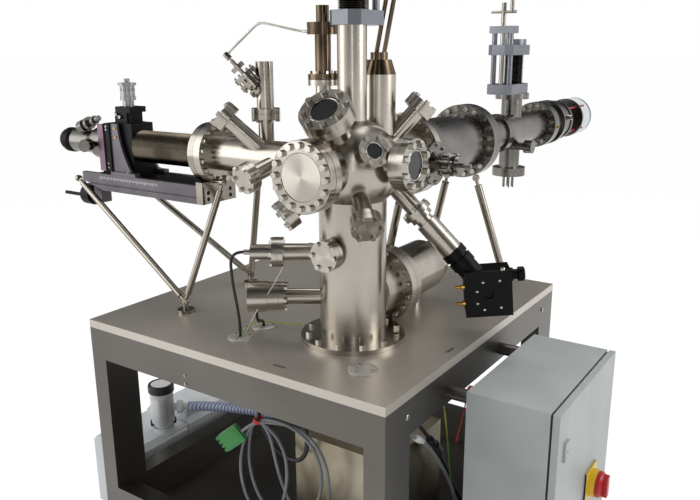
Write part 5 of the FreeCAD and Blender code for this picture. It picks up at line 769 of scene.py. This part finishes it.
# A thin braided lead bonds the upper gauge to the table.
cord("bonding_lead", [at_table(*spot) for spot in (
    (-115, -111, 180), (-133, -123, 139), (-153, -137, 104), (-173, -147, 68), (-190, -153, 32),
    (-202, -154, 12), (-205, -150, 3.3))],
    0.9, braided_lead)

# Yellow cover of the main switch, fitted over its plate and collar.
SWITCH = at(693, 40, 370)
shape = bmesh.new()
block(shape, (693.2, 2, 332), (699.8, 78, 408), 1.5)
piece("switch_cover", finished("switch_cover", shape), "door", switch_yellow, 40)
turned_piece("switch_ring", [(0, 6), (33, 6), (33, 21.5), (31.5, 21.9), (0, 21.9)], RIGHT, SWITCH,
             "door", switch_yellow)

# The door's black seal: four strips round the cabinet's opening.
SEAL_BACK, SEAL_FACE = 673.4, 677.6
shape = bmesh.new()
for (low_y, low_z), (high_y, high_z) in (
        ((-203, 636), (183, 641)), ((-203, 149), (183, 154)),
        ((-206, 149), (-201, 641)), ((182, 149), (187, 641))):
    block(shape, (SEAL_BACK, low_y, low_z), (SEAL_FACE, high_y, high_z), 0.8)
piece("cabinet_seal", finished("cabinet_seal", shape), "stand", gasket_rubber)


def seen_in_metal(tree):
    """The light path, and a value that is 1 for what metal or glass shows."""
    ray = add(tree, "LightPath")
    mirror = add(tree, "Math", {"operation": "MAXIMUM"},
                 {0: ray.outputs["Is Glossy Ray"], 1: ray.outputs["Is Transmission Ray"]})
    return ray, mirror


# Pale floor: most of what the camera and the metal see of it is plain white, and the rest holds shadow.
FLOOR_HALF_SIDE = 200
WHITE_SHARE = 0.82
WHITE_STRENGTH = 1.1
shape = bmesh.new()
bmesh.ops.create_grid(shape, x_segments=1, y_segments=1, size=FLOOR_HALF_SIDE)
floor_mesh = bpy.data.meshes.new("floor")
shape.to_mesh(floor_mesh)
shape.free()
floor_paint, tree, surface = finish_material("white_studio_floor", {"Base Color": linear("#F4F4F4"),
                                                                    "Roughness": 0.9})
ray, mirror = seen_in_metal(tree)
seen = add(tree, "Math", {"operation": "MAXIMUM"}, {0: mirror.outputs[0], 1: ray.outputs["Is Camera Ray"]})
share = add(tree, "Math", {"operation": "MULTIPLY", 1: WHITE_SHARE}, {0: seen.outputs[0]})
glow = add(tree, "Emission", {"Color": linear("#FFFFFF"), "Strength": WHITE_STRENGTH})
both = add(tree, "MixShader", links={0: share.outputs[0], 1: surface.outputs["BSDF"],
                                     2: glow.outputs["Emission"]})
tree.links.new(both.outputs["Shader"], tree.nodes["Material Output"].inputs["Surface"])
floor_mesh.materials.append(floor_paint)
floor = bpy.data.objects.new("floor", floor_mesh)
bpy.context.collection.objects.link(floor)

# Studio: a white room, dark before and behind the camera's line and bright to its left and right, and
# dimmer towards its ceiling. That is what metal and glass show. Matt surfaces are lit evenly from all
# sides, and the camera itself sees plain white.
CAMERA_SIDE = -56
DARK_WALL, BRIGHT_WALL = 0.08, 1.1
CEILING_START, CEILING_FULL, CEILING_SHARE = 0.35, 0.8, 0.35
PLAIN_LIGHT = 0.55
world = bpy.data.worlds.new("studio")
bpy.context.scene.world = world
world.use_nodes = True
tree = world.node_tree
sky = tree.nodes["Background"]
direction = add(tree, "TexCoord")
parts = add(tree, "SeparateXYZ", links={0: direction.outputs["Generated"]})
compass = add(tree, "Math", {"operation": "ARCTAN2"}, {0: parts.outputs["Y"], 1: parts.outputs["X"]})
doubled = add(tree, "Math", {"operation": "MULTIPLY_ADD", 1: 2.0, 2: math.radians(-2 * CAMERA_SIDE)},
              {0: compass.outputs[0]})
wave = add(tree, "Math", {"operation": "COSINE"}, {0: doubled.outputs[0]})
walls = add(tree, "MapRange", {"From Min": 0.5, "From Max": -0.5, "To Min": DARK_WALL, "To Max": BRIGHT_WALL},
            {"Value": wave.outputs[0]})
height = add(tree, "MapRange", {"From Min": CEILING_START, "From Max": CEILING_FULL, "To Min": 1.0,
                                "To Max": CEILING_SHARE}, {"Value": parts.outputs["Z"]})
seen = add(tree, "Math", {"operation": "MULTIPLY"}, {0: walls.outputs[0], 1: height.outputs[0]})
ray, mirror = seen_in_metal(tree)
plain = add(tree, "Mix", {"data_type": "FLOAT", 2: PLAIN_LIGHT},
            {0: mirror.outputs[0], 3: seen.outputs[0]})
shown = add(tree, "Mix", {"data_type": "FLOAT", 3: 1.0},
            {0: ray.outputs["Is Camera Ray"], 2: plain.outputs[0]})
tree.links.new(shown.outputs[0], sky.inputs["Strength"])
sky.inputs["Color"].default_value = linear("#FFFFFF")


def soft_light(name, azimuth, distance, height, width, tall, power):
    """A large soft lamp on the object's compass, turned towards the chamber: metres and watts."""
    lamp = bpy.data.objects.new(name, bpy.data.lights.new(name, "AREA"))
    bpy.context.collection.objects.link(lamp)
    lamp.data.shape = "RECTANGLE"
    lamp.data.size = width
    lamp.data.size_y = tall
    lamp.data.energy = power
    angle = math.radians(azimuth)
    lamp.location = AXIS + Vector((distance * math.cos(angle), distance * math.sin(angle), height))
    lamp.rotation_euler = (AXIS - lamp.location).to_track_quat("-Z", "Y").to_euler()


# Soft walls of light to the left and right, a narrow strip behind the camera, and one lamp above.
soft_light("left_softbox", azimuth=-140, distance=3.2, height=1.0, width=2.4, tall=3.0, power=40)
soft_light("right_softbox", azimuth=20, distance=3.4, height=1.2, width=1.4, tall=2.4, power=42)
soft_light("front_strip", azimuth=-55, distance=3.4, height=1.0, width=0.3, tall=2.4, power=8)
soft_light("top_softbox", azimuth=124, distance=1.2, height=2.6, width=2.2, tall=2.2, power=32)
